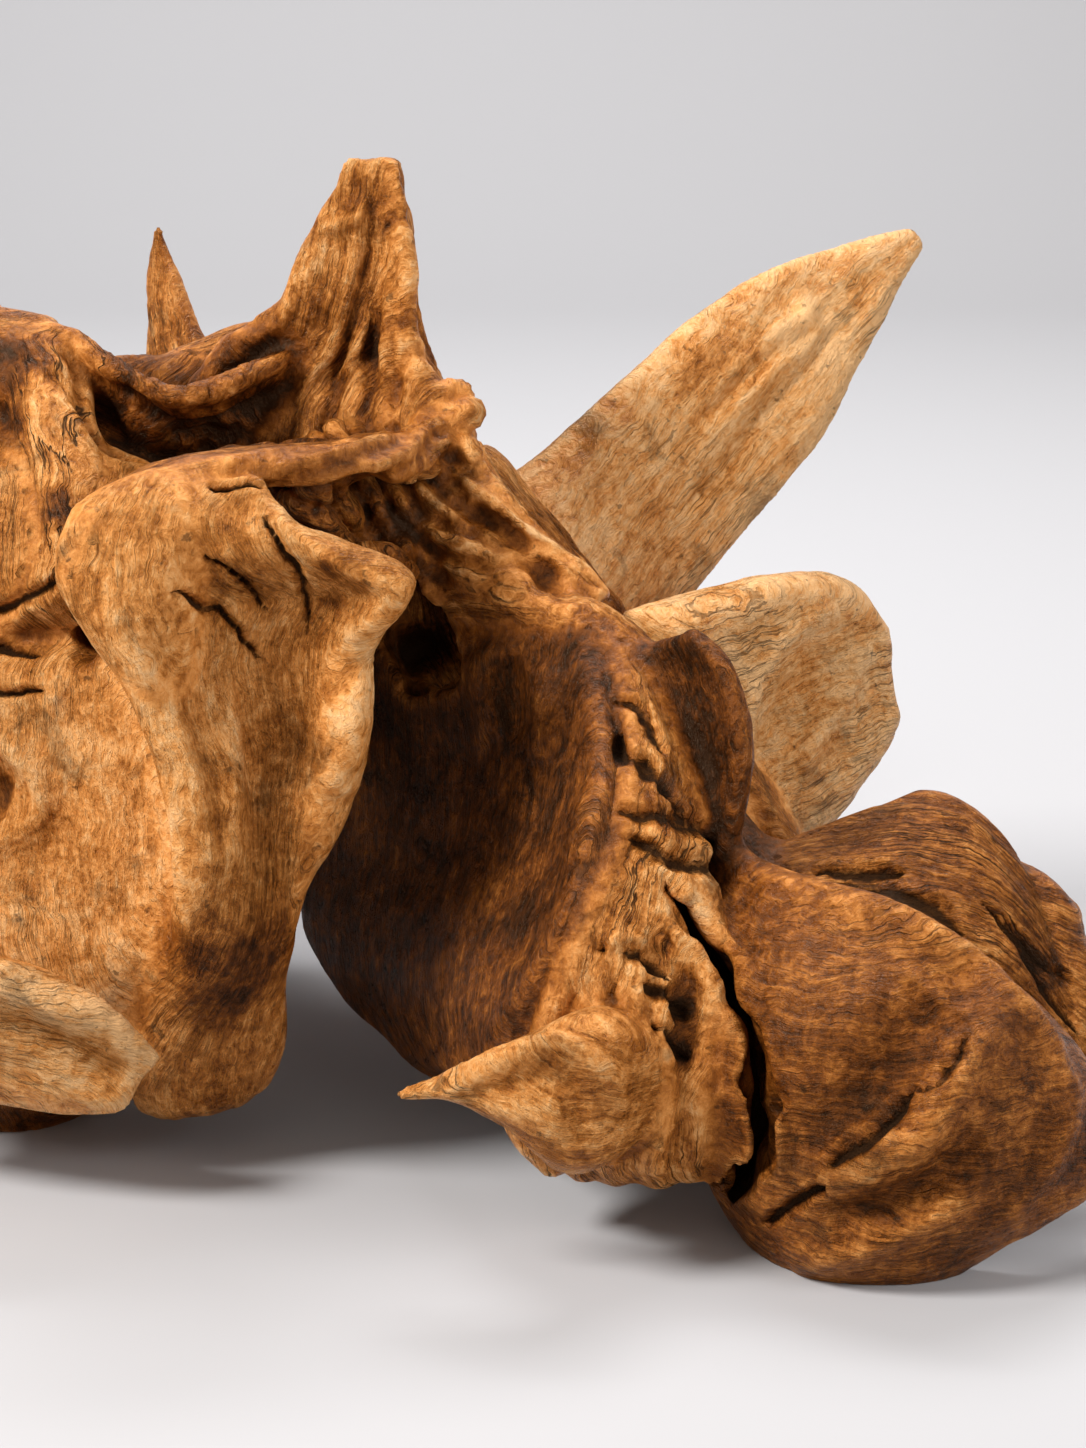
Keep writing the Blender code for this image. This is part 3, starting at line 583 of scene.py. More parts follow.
# Soft ridges and, where the height is negative, valleys: half their width, their height, their points.
FOLDS = {
    "ear_left": (
        8, 7.2, (-170, -143, 262), (-156, -136, 223), (-144, -138, 182), (-142, -138, 148),
        (-149, -126, 115),
    ),
    "ear_right": (9, 6.4, (-60, -123, 264), (-77, -110, 232), (-80, -116, 205), (-83, -119, 172)),
    "ear_valley": (
        13, -2.6, (-84, -127, 274), (-98, -116, 238), (-104, -116, 205), (-113, -122, 173),
        (-118, -135, 143),
    ),
    "ear_dish": (9, -4.0, (-130, -122, 293), (-108, -119, 290)),
    "ear_ray": (6, 3.8, (-128, -128, 280), (-122, -124, 240), (-124, -128, 200), (-128, -138, 150)),
    "panel_top": (
        8, 6.4, (87, -136, 141), (118, -160, 141), (149, -170, 134), (174, -177, 120),
        (191, -184, 102), (202, -190, 74),
    ),
    "panel_ridge": (12, 9.6, (182, -180, 113), (162, -210, 96), (137, -224, 68), (108, -218, 45)),
    "panel_valley": (14, -10.4, (152, -198, 117), (139, -212, 98), (120, -219, 78), (92, -209, 60)),
    "panel_low_valley": (9, -7.2, (168, -212, 66), (142, -224, 46), (112, -216, 30)),
    "panel_low_ridge": (9, 6.4, (160, -214, 48), (124, -218, 22), (96, -196, 10)),
    "panel_side": (8, 4.8, (205, -188, 80), (196, -196, 54), (176, -204, 36)),
    "wing": (
        10, 4.5, (24, -77, 219), (25, -107, 194), (22, -136, 165), (17, -153, 141), (7, -164, 115),
        (-5, -165, 95),
    ),
    "fan": (8, 5.6, (88, -30, 165), (92, -8, 188), (109, 19, 203), (133, 46, 210)),
    "fan_valley": (8, -5.6, (94, -21, 155), (109, 12, 177), (129, 38, 193)),
    "fan_low": (6, 3.8, (113, 1, 148), (133, 36, 171), (148, 58, 193)),
    "blade_high": (4, -2.6, (7, -34, 252), (49, 60, 268), (101, 129, 306), (160, 180, 345)),
    "blade_low": (4, -2.6, (24, -35, 239), (72, 80, 252), (120, 137, 303), (160, 176, 339)),
    "blade_middle": (5, 2.2, (14, -34, 246), (60, 70, 260), (110, 133, 305), (150, 165, 335)),
    "eye": (
        7, 7.2, (-240, -64, 178), (-227, -67, 179), (-215, -72, 172), (-210, -77, 159),
        (-216, -82, 145), (-240, -82, 138),
    ),
    "eye_hollow": (10, -11.2, (-245, -68, 162), (-224, -74, 159)),
    "bowl_valley": (15, -7.2, (-201, -69, 202), (-175, -87, 179), (-166, -103, 146), (-178, -112, 109)),
    "tongue": (6, 5.6, (-225, -154, 108), (-210, -154, 103), (-183, -148, 89), (-164, -145, 71)),
    "tongue_valley": (8, -5.6, (-225, -150, 92), (-192, -149, 76), (-170, -145, 61)),
    "beak": (5, 4.8, (-42, -210, 85), (-17, -217, 98), (6, -219, 104), (24, -217, 94), (31, -209, 72)),
    "beak_valley": (6, -4.8, (-32, -215, 84), (-5, -222, 91), (10, -223, 86), (16, -219, 66)),
    "wave_high": (
        4, -5.6, (-206, 5, 335), (-183, -11, 316), (-160, 4, 305), (-130, 13, 308), (-105, 23, 318),
    ),
    "wave_low": (4, -5.6, (-209, -6, 326), (-188, -14, 300), (-160, 0, 291), (-127, 14, 297)),
    "wave_rim": (
        5, 4.8, (-214, 18, 344), (-184, 0, 329), (-158, -5, 320), (-132, 0, 322), (-106, 22, 332),
    ),
    "horn_groove": (5, -4.5, (-72, 24, 378), (-72, 21, 362), (-74, 19, 341), (-72, 12, 315)),
    "horn_fold": (5, 6.4, (-92, 26, 380), (-83, 25, 387), (-73, 23, 391)),
    "brow": (5, -5.6, (-31, -22, 275), (-10, -33, 258), (16, -56, 240)),
    "under_ledge": (9, 5.0, (-30, -40, 214), (-24, -46, 196), (-22, -50, 176)),
    "under_ledge_right": (8, 5.0, (4, -58, 212), (6, -70, 194), (4, -80, 176)),
    "under_ledge_valley": (7, -4.0, (-12, -46, 214), (-8, -56, 196), (-8, -62, 180)),
    "torso_rim": (
        8, 5.0, (39, -120, 165), (54, -148, 138), (68, -160, 112), (77, -172, 82), (76, -172, 52),
    ),
    "torso_valley": (8, -7.2, (33, -150, 145), (44, -164, 128), (58, -172, 106), (60, -182, 76)),
    "torso_side": (7, 2.5, (30, -150, 152), (28, -166, 128), (38, -180, 96), (40, -178, 56)),
}

# Dark patches, mostly stains, and ear_foot, partly painted shade: the radius, then the middle.
DARK_STAINS_AND_SHADE = {
    "knot": (11, (-192, -64, 219)), "knot_side": (6, (-180, -90, 238)),
    "ear": (8, (-84, -128, 271)), "ear_hole": (3.5, (-109, -122, 290)),
    # ear_foot darkens the low part of the ear: partly painted shade, partly its darker wood.
    "ear_foot": (36, (-124, -122, 100)), "spot": (3.5, (-181, -137, 255)),
    "spot_low": (3.5, (-167, -142, 249)),
    "band": (12, (-224, -12, 308)), "band_low": (11, (-202, -45, 277)), "throat": (18, (-222, 0, 326)),
    "knobs": (9, (-40, -6, 290)), "folds": (14, (-62, -24, 262)), "gashes": (15, (48, -124, 168)),
    "crevice": (12, (80, -150, 110)), "fin": (16, (206, -116, 96)),
}

# How softly each limb runs into the others, in millimetres.
OTHERS_MELT = 11.0
MELT = {
    "horn_rib": 2.5, "torso_rib": 3.5, "fold_core": 2.0, "lip_strand": 3.0, "fold": 3.0, "knob": 3.5,
    "ear_lip": 5.0, "wave": 6.0, "beak": 5.0, "spike": 6.0, "scoop": 6.0, "tongue": 5.0,
    "left_horn": 6.0,
}


def listed(values, name, otherwise):
    """A limb's value from a table that may name it or its whole family."""
    known = [key for key in values if name.startswith(key)]
    return values[max(known, key=len)] if known else otherwise


def eased(samples):
    """Values from 0 to 1 that lie closer together towards both ends."""
    return 0.5 - 0.5 * np.cos(np.linspace(0.0, math.pi, samples))


def through(rows, places):
    """Catmull-Rom curve through the rows (one per whole number), read at these places."""
    ends = np.vstack([2 * rows[0] - rows[1], rows, 2 * rows[-1] - rows[-2]])
    span = np.clip(places.astype(int), 0, len(rows) - 2)
    t = (places - span)[:, None]
    p0, p1, p2, p3 = (ends[span + k] for k in range(4))
    square, cube = 2 * p0 - 5 * p1 + 4 * p2 - p3, 3 * p1 - p0 - 3 * p2 + p3
    return 0.5 * (2 * p1 + (p2 - p0) * t + square * t**2 + cube * t**3)


def unit(vectors):
    return vectors / np.maximum(np.linalg.norm(vectors, axis=-1, keepdims=True), 1e-9)


def rounded(distance, radius):
    """How much of a sheet's thickness is left this far from its edge, so that the edge is round."""
    inside = np.clip(distance / radius, 0.0, 1.0)
    return np.sqrt(inside * (2.0 - inside))


Skin = namedtuple("Skin", "points faces along across")


def limb_skin(rows, taper, samples_along=64, samples_across=28):
    """A limb's closed skin: points, triangles, and each point's place along and across the grain."""
    table = np.array([[*row.a, *row.b, row.belly, row.thick] for row in rows], float)
    table = through(table, eased(samples_along) * (len(rows) - 1))
    a, b, belly, thick = table[:, :3], table[:, 3:6], table[:, 6], np.maximum(table[:, 7], 0.5)
    middle, half = (a + b) / 2, (b - a) / 2
    out = unit(np.cross(np.gradient(middle, axis=0), half))
    u = (2 * eased(samples_across) - 1)[None, :, None]
    sheet = middle[:, None] + u * half[:, None] + out[:, None] * (belly[:, None, None] * (1 - u**2))
    facing = unit(np.cross(np.gradient(sheet, axis=0), np.gradient(sheet, axis=1)))
    width = np.linalg.norm(half, axis=1)[:, None]
    travel = np.concatenate([[0.0], np.cumsum(np.linalg.norm(np.diff(middle, axis=0), axis=1))])
    to_end = np.minimum(travel, travel[-1] - travel)[:, None]
    radius = thick[:, None]
    deep = radius * (1 - taper * u[..., 0] ** 2)
    deep = deep * rounded((1 - abs(u[..., 0])) * width, np.minimum(radius, width))
    deep = deep * rounded(to_end, radius)

    points, along, across = [], [], []
    for side in (1, -1):
        points.append((sheet + side * facing * deep[..., None]).reshape(-1, 3))
        along.append(np.broadcast_to(travel[:, None], deep.shape).ravel())
        across.append((u[..., 0] * width + side * deep).ravel())
    corner = np.arange(samples_along * samples_across).reshape(samples_along, samples_across)
    quads = np.stack([corner[:-1, :-1], corner[:-1, 1:], corner[1:, 1:], corner[1:, :-1]], -1)
    quads = quads.reshape(-1, 4)
    quads = np.vstack([quads[:, ::-1], quads + corner.size])
    faces = np.vstack([quads[:, [0, 1, 2]], quads[:, [0, 2, 3]]])
    return Skin(np.vstack(points), faces, np.concatenate(along), np.concatenate(across))


# ------------------------------------------------------------------ the distance field
def distance_to(skin):
    """A limb's distance field as (its low corner in the big field, the values)."""
    grid = vdb.FloatGrid.createLevelSetFromPolygons(
        (skin.points - FIELD_LOW).astype(np.float32),
        triangles=skin.faces.astype(np.uint32),
        transform=vdb.createLinearTransform(VOXEL),
        halfWidth=BAND / VOXEL,
    )
    low, high = (np.array(corner) for corner in grid.evalActiveVoxelBoundingBox())
    low = np.maximum(low, 0)
    values = np.zeros(high - low + 1, np.float32)
    grid.copyToArray(values, ijk=tuple(int(k) for k in low))
    return low, values


def melted(first, second, softness):
    """The union of two distance fields, rounded where their surfaces meet."""
    known = np.clip((BAND - np.maximum(abs(first), abs(second))) / (0.4 * BAND), 0.0, 1.0)
    softness = np.maximum(softness * known, 1e-3)
    share = np.clip(0.5 + 0.5 * (second - first) / softness, 0.0, 1.0)
    return second + (first - second) * share - softness * share * (1 - share)


def window(field, low, values):
    """The part of the field where these values lie, and the values that lie inside the field."""
    size = np.minimum(np.array(values.shape), np.array(field.shape) - low)
    place = tuple(slice(a, a + n) for a, n in zip(low, size))
    return place, values[tuple(slice(0, n) for n in size)]


def blurred(field):
    for axis in range(3):
        before, after = np.roll(field, 1, axis), np.roll(field, -1, axis)
        field = 0.5 * field + 0.25 * (before + after)
    return field


def wood_field(skins, hollows):
    shape = np.ceil((FIELD_HIGH - FIELD_LOW) / VOXEL).astype(int)
    field = np.full(shape, BAND, np.float32)
    for name, skin in skins.items():
        place, values = window(field, *distance_to(skin))
        field[place] = melted(field[place], values, listed(MELT, name, OTHERS_MELT))
    for skin in hollows.values():
        uneven = skin._replace(points=skin.points + HOLLOW_WOBBLE * wobble(skin.points, 13, 81))
        place, values = window(field, *distance_to(uneven))
        field[place] = -melted(-field[place], values, HOLLOW_MELT)
    return blurred(field)


def flatten_feet(field):
    """Cuts everything below the ground away."""
    height = FIELD_LOW[2] + np.arange(field.shape[2]) * VOXEL
    return np.maximum(field, -height.astype(np.float32))


# ------------------------------------------------------------------ the surface
class Surface:
    """Points and four-sided faces, with what is next to what."""

    def __init__(self, points, faces):
        self.points, self.faces = points, faces
        pairs = np.vstack([faces[:, [k, (k + 1) % 4]] for k in range(4)])
        pairs = np.unique(np.sort(pairs, axis=1), axis=0)
        self.one, self.other = pairs.T
        self.neighbours = np.bincount(pairs.ravel(), minlength=len(points)).astype(float)

    def average(self, values):
        """At each point, the mean of its neighbours' values."""
        columns = values.reshape(len(values), -1)
        total = [
            np.bincount(self.one, column[self.other], len(values))
            + np.bincount(self.other, column[self.one], len(values))
            for column in columns.T
        ]
        return (np.stack(total, 1) / self.neighbours[:, None]).reshape(values.shape)

    def spread(self, values, steps, share=0.7):
        for _ in range(steps):
            values = (1 - share) * values + share * self.average(values)
        return values

    def normals(self):
        corners = self.points[self.faces]
        facing = np.cross(corners[:, 2] - corners[:, 0], corners[:, 3] - corners[:, 1])
        corner = self.faces.ravel()
        total = [np.bincount(corner, np.repeat(way, 4), len(self.points)) for way in facing.T]
        return unit(np.stack(total, 1))

    def largest_piece(self):
        """The surface without its loose bits and the skins of closed bubbles."""
        label = np.arange(len(self.points))
        while True:
            lower = label.copy()
            np.minimum.at(lower, self.one, label[self.other])
            np.minimum.at(lower, self.other, label[self.one])
            lower = lower[lower]
            if (lower == label).all():
                break
            label = lower
        keep = label == np.bincount(label).argmax()
        number = np.cumsum(keep) - 1
        return Surface(self.points[keep], number[self.faces[keep[self.faces[:, 0]]]])


def surface_of(field):
    grid = vdb.FloatGrid(BAND)
    grid.copyFromArray(field, ijk=(0, 0, 0), tolerance=0.0)
    grid.transform = vdb.createLinearTransform(VOXEL)
    points, _, faces = grid.convertToPolygons(isovalue=0.0, adaptivity=0.0)
    points, faces = points.astype(float) + FIELD_LOW, faces.astype(int)
    corners = points[faces]
    volume = (corners[:, 0] * np.cross(corners[:, 1], corners[:, 2])).sum()
    return Surface(points, faces if volume > 0 else faces[:, ::-1]).largest_piece()


def read_field(field, points):
    """The field's value at the voxel nearest to each point."""
    cell = np.rint((points - FIELD_LOW) / VOXEL).astype(int)
    cell = np.clip(cell, 0, np.array(field.shape) - 1)
    return field[cell[:, 0], cell[:, 1], cell[:, 2]]


def solid_share(field, reach):
    """How much of the space around each voxel is wood, out to about this many millimetres."""
    share = (field < 0).astype(np.float32)
    radius = int(round(reach / VOXEL / 2))
    for _ in range(2):
        for axis in range(3):
            total = np.cumsum(share, axis=axis, dtype=np.float32)
            share = (np.roll(total, -radius, axis) - np.roll(total, radius, axis)) / (2 * radius)
            share = np.clip(share, 0.0, 1.0)
    return share


# Large odd numbers that stir up the noise's cell numbers and its seed.
STIR_X, STIR_Y, STIR_Z, STIR_SEED, STIR_ALL = 73856093, 19349663, 83492791, 2654435761, 1274126177


def noise(points, seed=0):
    """Smooth noise from -1 to 1 at these points, about one bump to a unit, the same on every run.
    Each kind of unevenness has a seed of its own."""
    cell = np.floor(points).astype(np.int64)
    part = points - cell
    part = part * part * (3 - 2 * part)
    total = np.zeros(len(points))
    for corner in np.ndindex(2, 2, 2):
        x, y, z = (cell + corner).T
        mixed = (x * STIR_X) ^ (y * STIR_Y) ^ (z * STIR_Z) ^ (seed * STIR_SEED)
        mixed = (mixed ^ (mixed >> 13)) * STIR_ALL
        value = ((mixed ^ (mixed >> 16)) & 0xFFFF) / 32767.5 - 1
        weight = np.prod(np.where(corner, part, 1 - part), axis=1)
        total += weight * value
    return total


def layered(points, layers, seed=0):
    """Noise with finer and finer noise on it."""
    total = sum(noise(points * 2.03**k, seed + k) * 0.5**k for k in range(layers))
    return total / (2 - 0.5 ** (layers - 1))


def wobble(points, size, seed):
    """A smooth way off for each point, from -1 to 1 along each axis, about one bump to this size."""
    return np.stack([noise(points / size, seed + axis) for axis in range(3)], 1)


def follow_limbs(surface, skins):
    """For each point of the surface, its limb's number and its place along and across that limb."""
    names = [name for name in skins if "_rib_" not in name]
    offsets = np.cumsum([0] + [len(skins[name].points) for name in names])
    points = np.vstack([skins[name].points for name in names])
    faces = np.vstack([skins[name].faces + offset for name, offset in zip(names, offsets)])
    along = np.concatenate([skins[name].along for name in names])
    across = np.concatenate([skins[name].across for name in names])
    places = np.stack([along, across], 1)
    owner = np.concatenate([np.full(len(skins[name].faces), k) for k, name in enumerate(names)])
    tree = BVHTree.FromPolygons(points.tolist(), faces.tolist(), all_triangles=True)
    found = [tree.find_nearest(point) for point in surface.points.tolist()]
    face = np.array([hit[2] for hit in found])
    spot = np.array([hit[0] for hit in found])
    a, b, c = (points[faces[face, k]] for k in range(3))
    total = np.cross(b - a, c - a)
    size = np.maximum((total * total).sum(1), 1e-12)
    wb = (np.cross(spot - a, c - a) * total).sum(1) / size
    wc = (np.cross(b - a, spot - a) * total).sum(1) / size
    weights = np.stack([1 - wb - wc, wb, wc], 1)
    place = (places[faces[face]] * weights[..., None]).sum(1)
    return names, owner[face], place


def by_limb(values, names, owner, otherwise):
    """Each point's value from a table of limbs."""
    return np.array([listed(values, name, otherwise) for name in names])[owner]


def grain_places(owner, place):
    """Where each point lies in the grain: along its limb, across it, and which limb."""
    return np.stack([place[:, 0], place[:, 1], NEXT_LIMB * owner], 1)


def near_path(points, path, reach):
    """Which points lie near a path: their numbers, their distance, the way off the path and along it,
    and the share of the path behind them. The path is first laid down on the points."""
    corners = np.array(path, float)
    corners = through(corners, np.linspace(0, len(corners) - 1, 6 * len(corners)))
    low, high = corners.min(0) - reach - 6.0, corners.max(0) + reach + 6.0
    near = np.flatnonzero(((points > low) & (points < high)).all(1))
    apart = np.linalg.norm(corners[:, None] - points[near][None], axis=2)
    corners = 0.25 * corners + 0.75 * points[near][apart.argmin(1)]
    away = np.full(len(near), np.inf)
    best = np.zeros((len(near), 7))
    lengths = np.linalg.norm(np.diff(corners, axis=0), axis=1)
    passed = 0.0
    for start, step, length in zip(corners, np.diff(corners, axis=0), lengths):
        share = np.clip((points[near] - start) @ step / length**2, 0.0, 1.0)
        off = points[near] - start - share[:, None] * step
        distance = np.linalg.norm(off, axis=1)
        closer = distance < away
        away[closer] = distance[closer]
        done = (passed + share * length) / lengths.sum()
        best[closer] = np.column_stack([off, np.tile(step / length, (len(near), 1)), done])[closer]
        passed += length
    return near, away, best[:, :3], best[:, 3:6], best[:, 6]


def pull_in_and_out(surface):
    """Raises the soft ridges and sinks the valleys, on the side that faces the front."""
    points, normals = surface.points, surface.normals()
    wavy = points + 2.0 * wobble(points, 20, 51)
    height = np.zeros(len(points))
    for width, rise, *path in FOLDS.values():
        near, away, _, _, share = near_path(wavy, path, 2.5 * width)
        fade = np.sqrt(np.clip(4 * share * (1 - share), 0.0, 1.0))
        facing = np.clip(0.6 - 2.0 * normals[near, 1], 0.0, 1.0)
        height[near] += rise * fade * facing * np.exp(-((away / width) ** 2))
    surface.points = points + normals * surface.spread(height, 2)[:, None]


def open_cracks(surface):
    """Sinks the cracks, and returns how far across a crack each point lies: -1 and 1 are its rims."""
    points, normals = surface.points, surface.normals()
    wavy = points + 1.6 * wobble(points, 9, 61)
    across = np.full(len(points), FAR_FROM_CRACKS)
    for width, *path in CRACKS.values():
        near, away, off, way, share = near_path(wavy, path, FAR_FROM_CRACKS * width)
        open_width = width * (0.15 + np.sqrt(np.clip(4 * share * (1 - share), 0.0, 1.0)))
        side = np.sign((np.cross(way, normals[near]) * off).sum(1))
        ratio = side * away / open_width
        across[near] = np.where(abs(ratio) < abs(across[near]), ratio, across[near])
    gap = CRACK_DEPTH * np.exp(-((across / 1.6) ** 2))
    rims = CRACK_RIM * np.exp(-((abs(across) - 2.6) ** 2))
    surface.points = points - normals * (gap - rims)[:, None]
    return across


SHARPENING, MOST_SHARPENED = 0.9, 1.6   # how much further out ridges are moved, and the most of it


def sharpen(surface):
    """Makes ridges stand out and valleys lie deeper, as weather does."""
    normals = surface.normals()
    bend = ((surface.points - surface.spread(surface.points, 7)) * normals).sum(1)
    height = np.clip(SHARPENING * bend, -MOST_SHARPENED, MOST_SHARPENED)
    surface.points = surface.points + normals * height[:, None]


def dark_patches(points):
    """How deep in a dark patch each point lies."""
    patch = np.zeros(len(points))
    wavy = points + 4.0 * wobble(points, 10, 71)
    for radius, middle in DARK_STAINS_AND_SHADE.values():
        away = np.linalg.norm(wavy - middle, axis=1) / radius
        patch = np.maximum(patch, np.clip(1.6 - 1.4 * away, 0.0, 1.0))
    return patch


# What is grown on the surface: its height in millimetres, then how large one bump of it is.
BIG_LUMPS, SMALL_LUMPS, KNOTS = (1.9, 40), (0.9, 14), (1.5, 7.0)
PIT_DEPTH, PIT_SIZE = 3.0, [7.0, 7.0, 9.0]
FLUTE_SIZE, RIB_SIZE = [90.0, 8.0, 1.0], [30.0, 4.2, 1.0]   # along the grain, across it, between limbs
NEXT_LIMB = 9.7                                            # how far apart the limbs' grains lie
SMOOTH_FOOT = 9.0                                          # up to this height the details fade out


def grow_details(surface, owner, place, names):
    """Moves the points along their normals: lumps, flutes along the grain, and pits in rough wood."""
    rough = surface.spread(by_limb(FURROWED, names, owner, OTHERS_FURROWED), 8)
    seam = np.zeros(len(owner))
    apart = owner[surface.one] != owner[surface.other]
    seam[surface.one[apart]] = 1.0
    seam[surface.other[apart]] = 1.0
    narrow, wide = (np.clip(3.0 * surface.spread(seam, steps), 0.0, 1.0) for steps in (2, 9))
    seam = wide + (narrow - wide) * np.clip(4.0 * rough - 2.4, 0.0, 1.0)
    points = surface.points
    grain = grain_places(owner, place) + wobble(points, 16, 21) * [7.5, 2.5, 0.0]
    lumps = BIG_LUMPS[0] * layered(points / BIG_LUMPS[1], 2, 1)
    small_lumps = SMALL_LUMPS[0] * layered(points / SMALL_LUMPS[1], 3, 5) * (1 - 0.7 * rough)
    flutes = (0.35 + 2.6 * rough) * layered(grain / FLUTE_SIZE, 3, 11) * (1 - seam)
    fine_ribs = (0.15 + 1.6 * rough**2) * layered(grain / RIB_SIZE, 2, 31) * (1 - seam)
    knots = KNOTS[0] * rough * layered(points / KNOTS[1], 2, 35) * seam
    pits = -PIT_DEPTH * rough**2 * np.clip(layered(points / PIT_SIZE, 2, 41) - 0.28, 0.0, 1.0)
    height = surface.spread(lumps + small_lumps + flutes + fine_ribs + knots + pits, 1, 0.25)
    height *= np.clip(points[:, 2] / SMOOTH_FOOT, 0.0, 1.0)
    surface.points = points + surface.normals() * height[:, None]
    return rough, seam


# Where the wood that casts the painted shade is looked for: how much space is looked at, and how far ahead
# of the surface it lies.
NEAR_WOOD, FAR_WOOD = (22.0, 9.0), (60.0, 26.0)


def shelter_and_wear(surface, field):
    """Painted shade from how sheltered each point is by the wood around it, and painted highlight on rims
    and ridges.
    """
    normals = surface.normals()
    near, wide = (
        read_field(solid_share(field, reach), surface.points + normals * ahead)
        for reach, ahead in (NEAR_WOOD, FAR_WOOD)
    )
    bend = ((surface.points - surface.average(surface.points)) * normals).sum(1)
    crease = surface.spread(bend, 2)
    ridge = surface.spread(bend, 8)
    # Painted shade: the more wood lies around a point and the more hollow its surface, the darker it is
    # painted.
    shade_paint = 1.4 * (near - 0.34) + 0.45 * (wide - 0.35) - 1.5 * crease
    # Painted highlight: rims and ridges are made lighter, less so where wood lies close around them.
    highlight_paint = 3.4 * ridge + 1.4 * crease - 0.4 * (near - 0.2)
    return np.clip(surface.spread(shade_paint, 2), 0.0, 1.0), np.clip(highlight_paint, 0.0, 1.0)


# ------------------------------------------------------------------ the mesh in the scene
def to_mesh(name, points, faces, notes):
    """A Blender mesh in metres in the row frame, with one attribute for each note."""
    mesh = bpy.data.meshes.new(name)
    mesh.from_pydata(((points - ORIGIN) * MM).tolist(), [], faces.tolist())
    for note, values in notes.items():
        kind, part = ("FLOAT_VECTOR", "vector") if values.ndim > 1 else ("FLOAT", "value")
        attribute = mesh.attributes.new(note, kind, "POINT")
        attribute.data.foreach_set(part, values.astype(np.float32).ravel())
    mesh.update()
    return mesh


def thin_out(obj, triangles):
    """Leaves the mesh with fewer faces, and more of them where it curves."""
    thin = obj.modifiers.new("thin", "DECIMATE")
    thin.ratio = min(1.0, triangles / (2 * len(obj.data.polygons)))
    graph = bpy.context.evaluated_depsgraph_get()
    mesh = bpy.data.meshes.new_from_object(obj.evaluated_get(graph))
    obj.modifiers.clear()
    obj.data = mesh


# ------------------------------------------------------------------ materials
FIRST_COLOUR, SECOND_COLOUR, MIXED_COLOUR = 6, 7, 2   # the colour sockets of a mix node


class Nodes:
    """Adds shader nodes to a material, one call a node."""

    def __init__(self, name):
        self.material = bpy.data.materials.new(name)
        self.material.use_nodes = True
        self.tree = self.material.node_tree
        self.shader = self.tree.nodes["Principled BSDF"]

    def join(self, value, socket):
        if isinstance(value, bpy.types.NodeSocket):
            self.tree.links.new(value, socket)
        else:
            socket.default_value = value

    def add(self, kind, inputs, output=0, **settings):
        node = self.tree.nodes.new(kind)
        for name, value in settings.items():
            setattr(node, name, value)
        for key, value in inputs.items():
            self.join(value, node.inputs[key])
        return node.outputs[output]

    def note(self, name, output="Fac"):
        return self.add("ShaderNodeAttribute", {}, output, attribute_name=name)

    def maths(self, operation, *values, clamp=False):
        return self.add("ShaderNodeMath", dict(enumerate(values)), operation=operation, use_clamp=clamp)

    def vector(self, operation, *values):
        return self.add("ShaderNodeVectorMath", dict(enumerate(values)), operation=operation)

    def noise(self, vector, scale, detail, roughness=0.5, distortion=0.0):
        inputs = {"Vector": vector, "Scale": scale, "Detail": detail, "Roughness": roughness}
        return self.add("ShaderNodeTexNoise", inputs | {"Distortion": distortion})

    def between(self, value, low, high, to_low=0.0, to_high=1.0):
        inputs = {"Value": value, "From Min": low, "From Max": high}
        inputs.update({"To Min": to_low, "To Max": to_high})
        return self.add("ShaderNodeMapRange", inputs, clamp=True)

    def mix(self, share, first, second):
        node = self.tree.nodes.new("ShaderNodeMix")
        node.data_type = "RGBA"
        self.join(share, node.inputs["Factor"])
        self.join(first, node.inputs[FIRST_COLOUR])
        self.join(second, node.inputs[SECOND_COLOUR])
        return node.outputs[MIXED_COLOUR]

    def ramp(self, value, *stops):
        node = self.tree.nodes.new("ShaderNodeValToRGB")
        elements = node.color_ramp.elements
        while len(elements) < len(stops):
            elements.new(0.5)
        for element, (place, colour) in zip(elements, stops):
            element.position = place
            element.color = (*colour, 1.0)
        self.join(value, node.inputs["Fac"])
        return node.outputs["Color"]

    def bump(self, height, distance, under=None):
        inputs = {"Height": height, "Distance": distance, "Strength": 1.0}
        if under is not None:
            inputs["Normal"] = under
        return self.add("ShaderNodeBump", inputs)


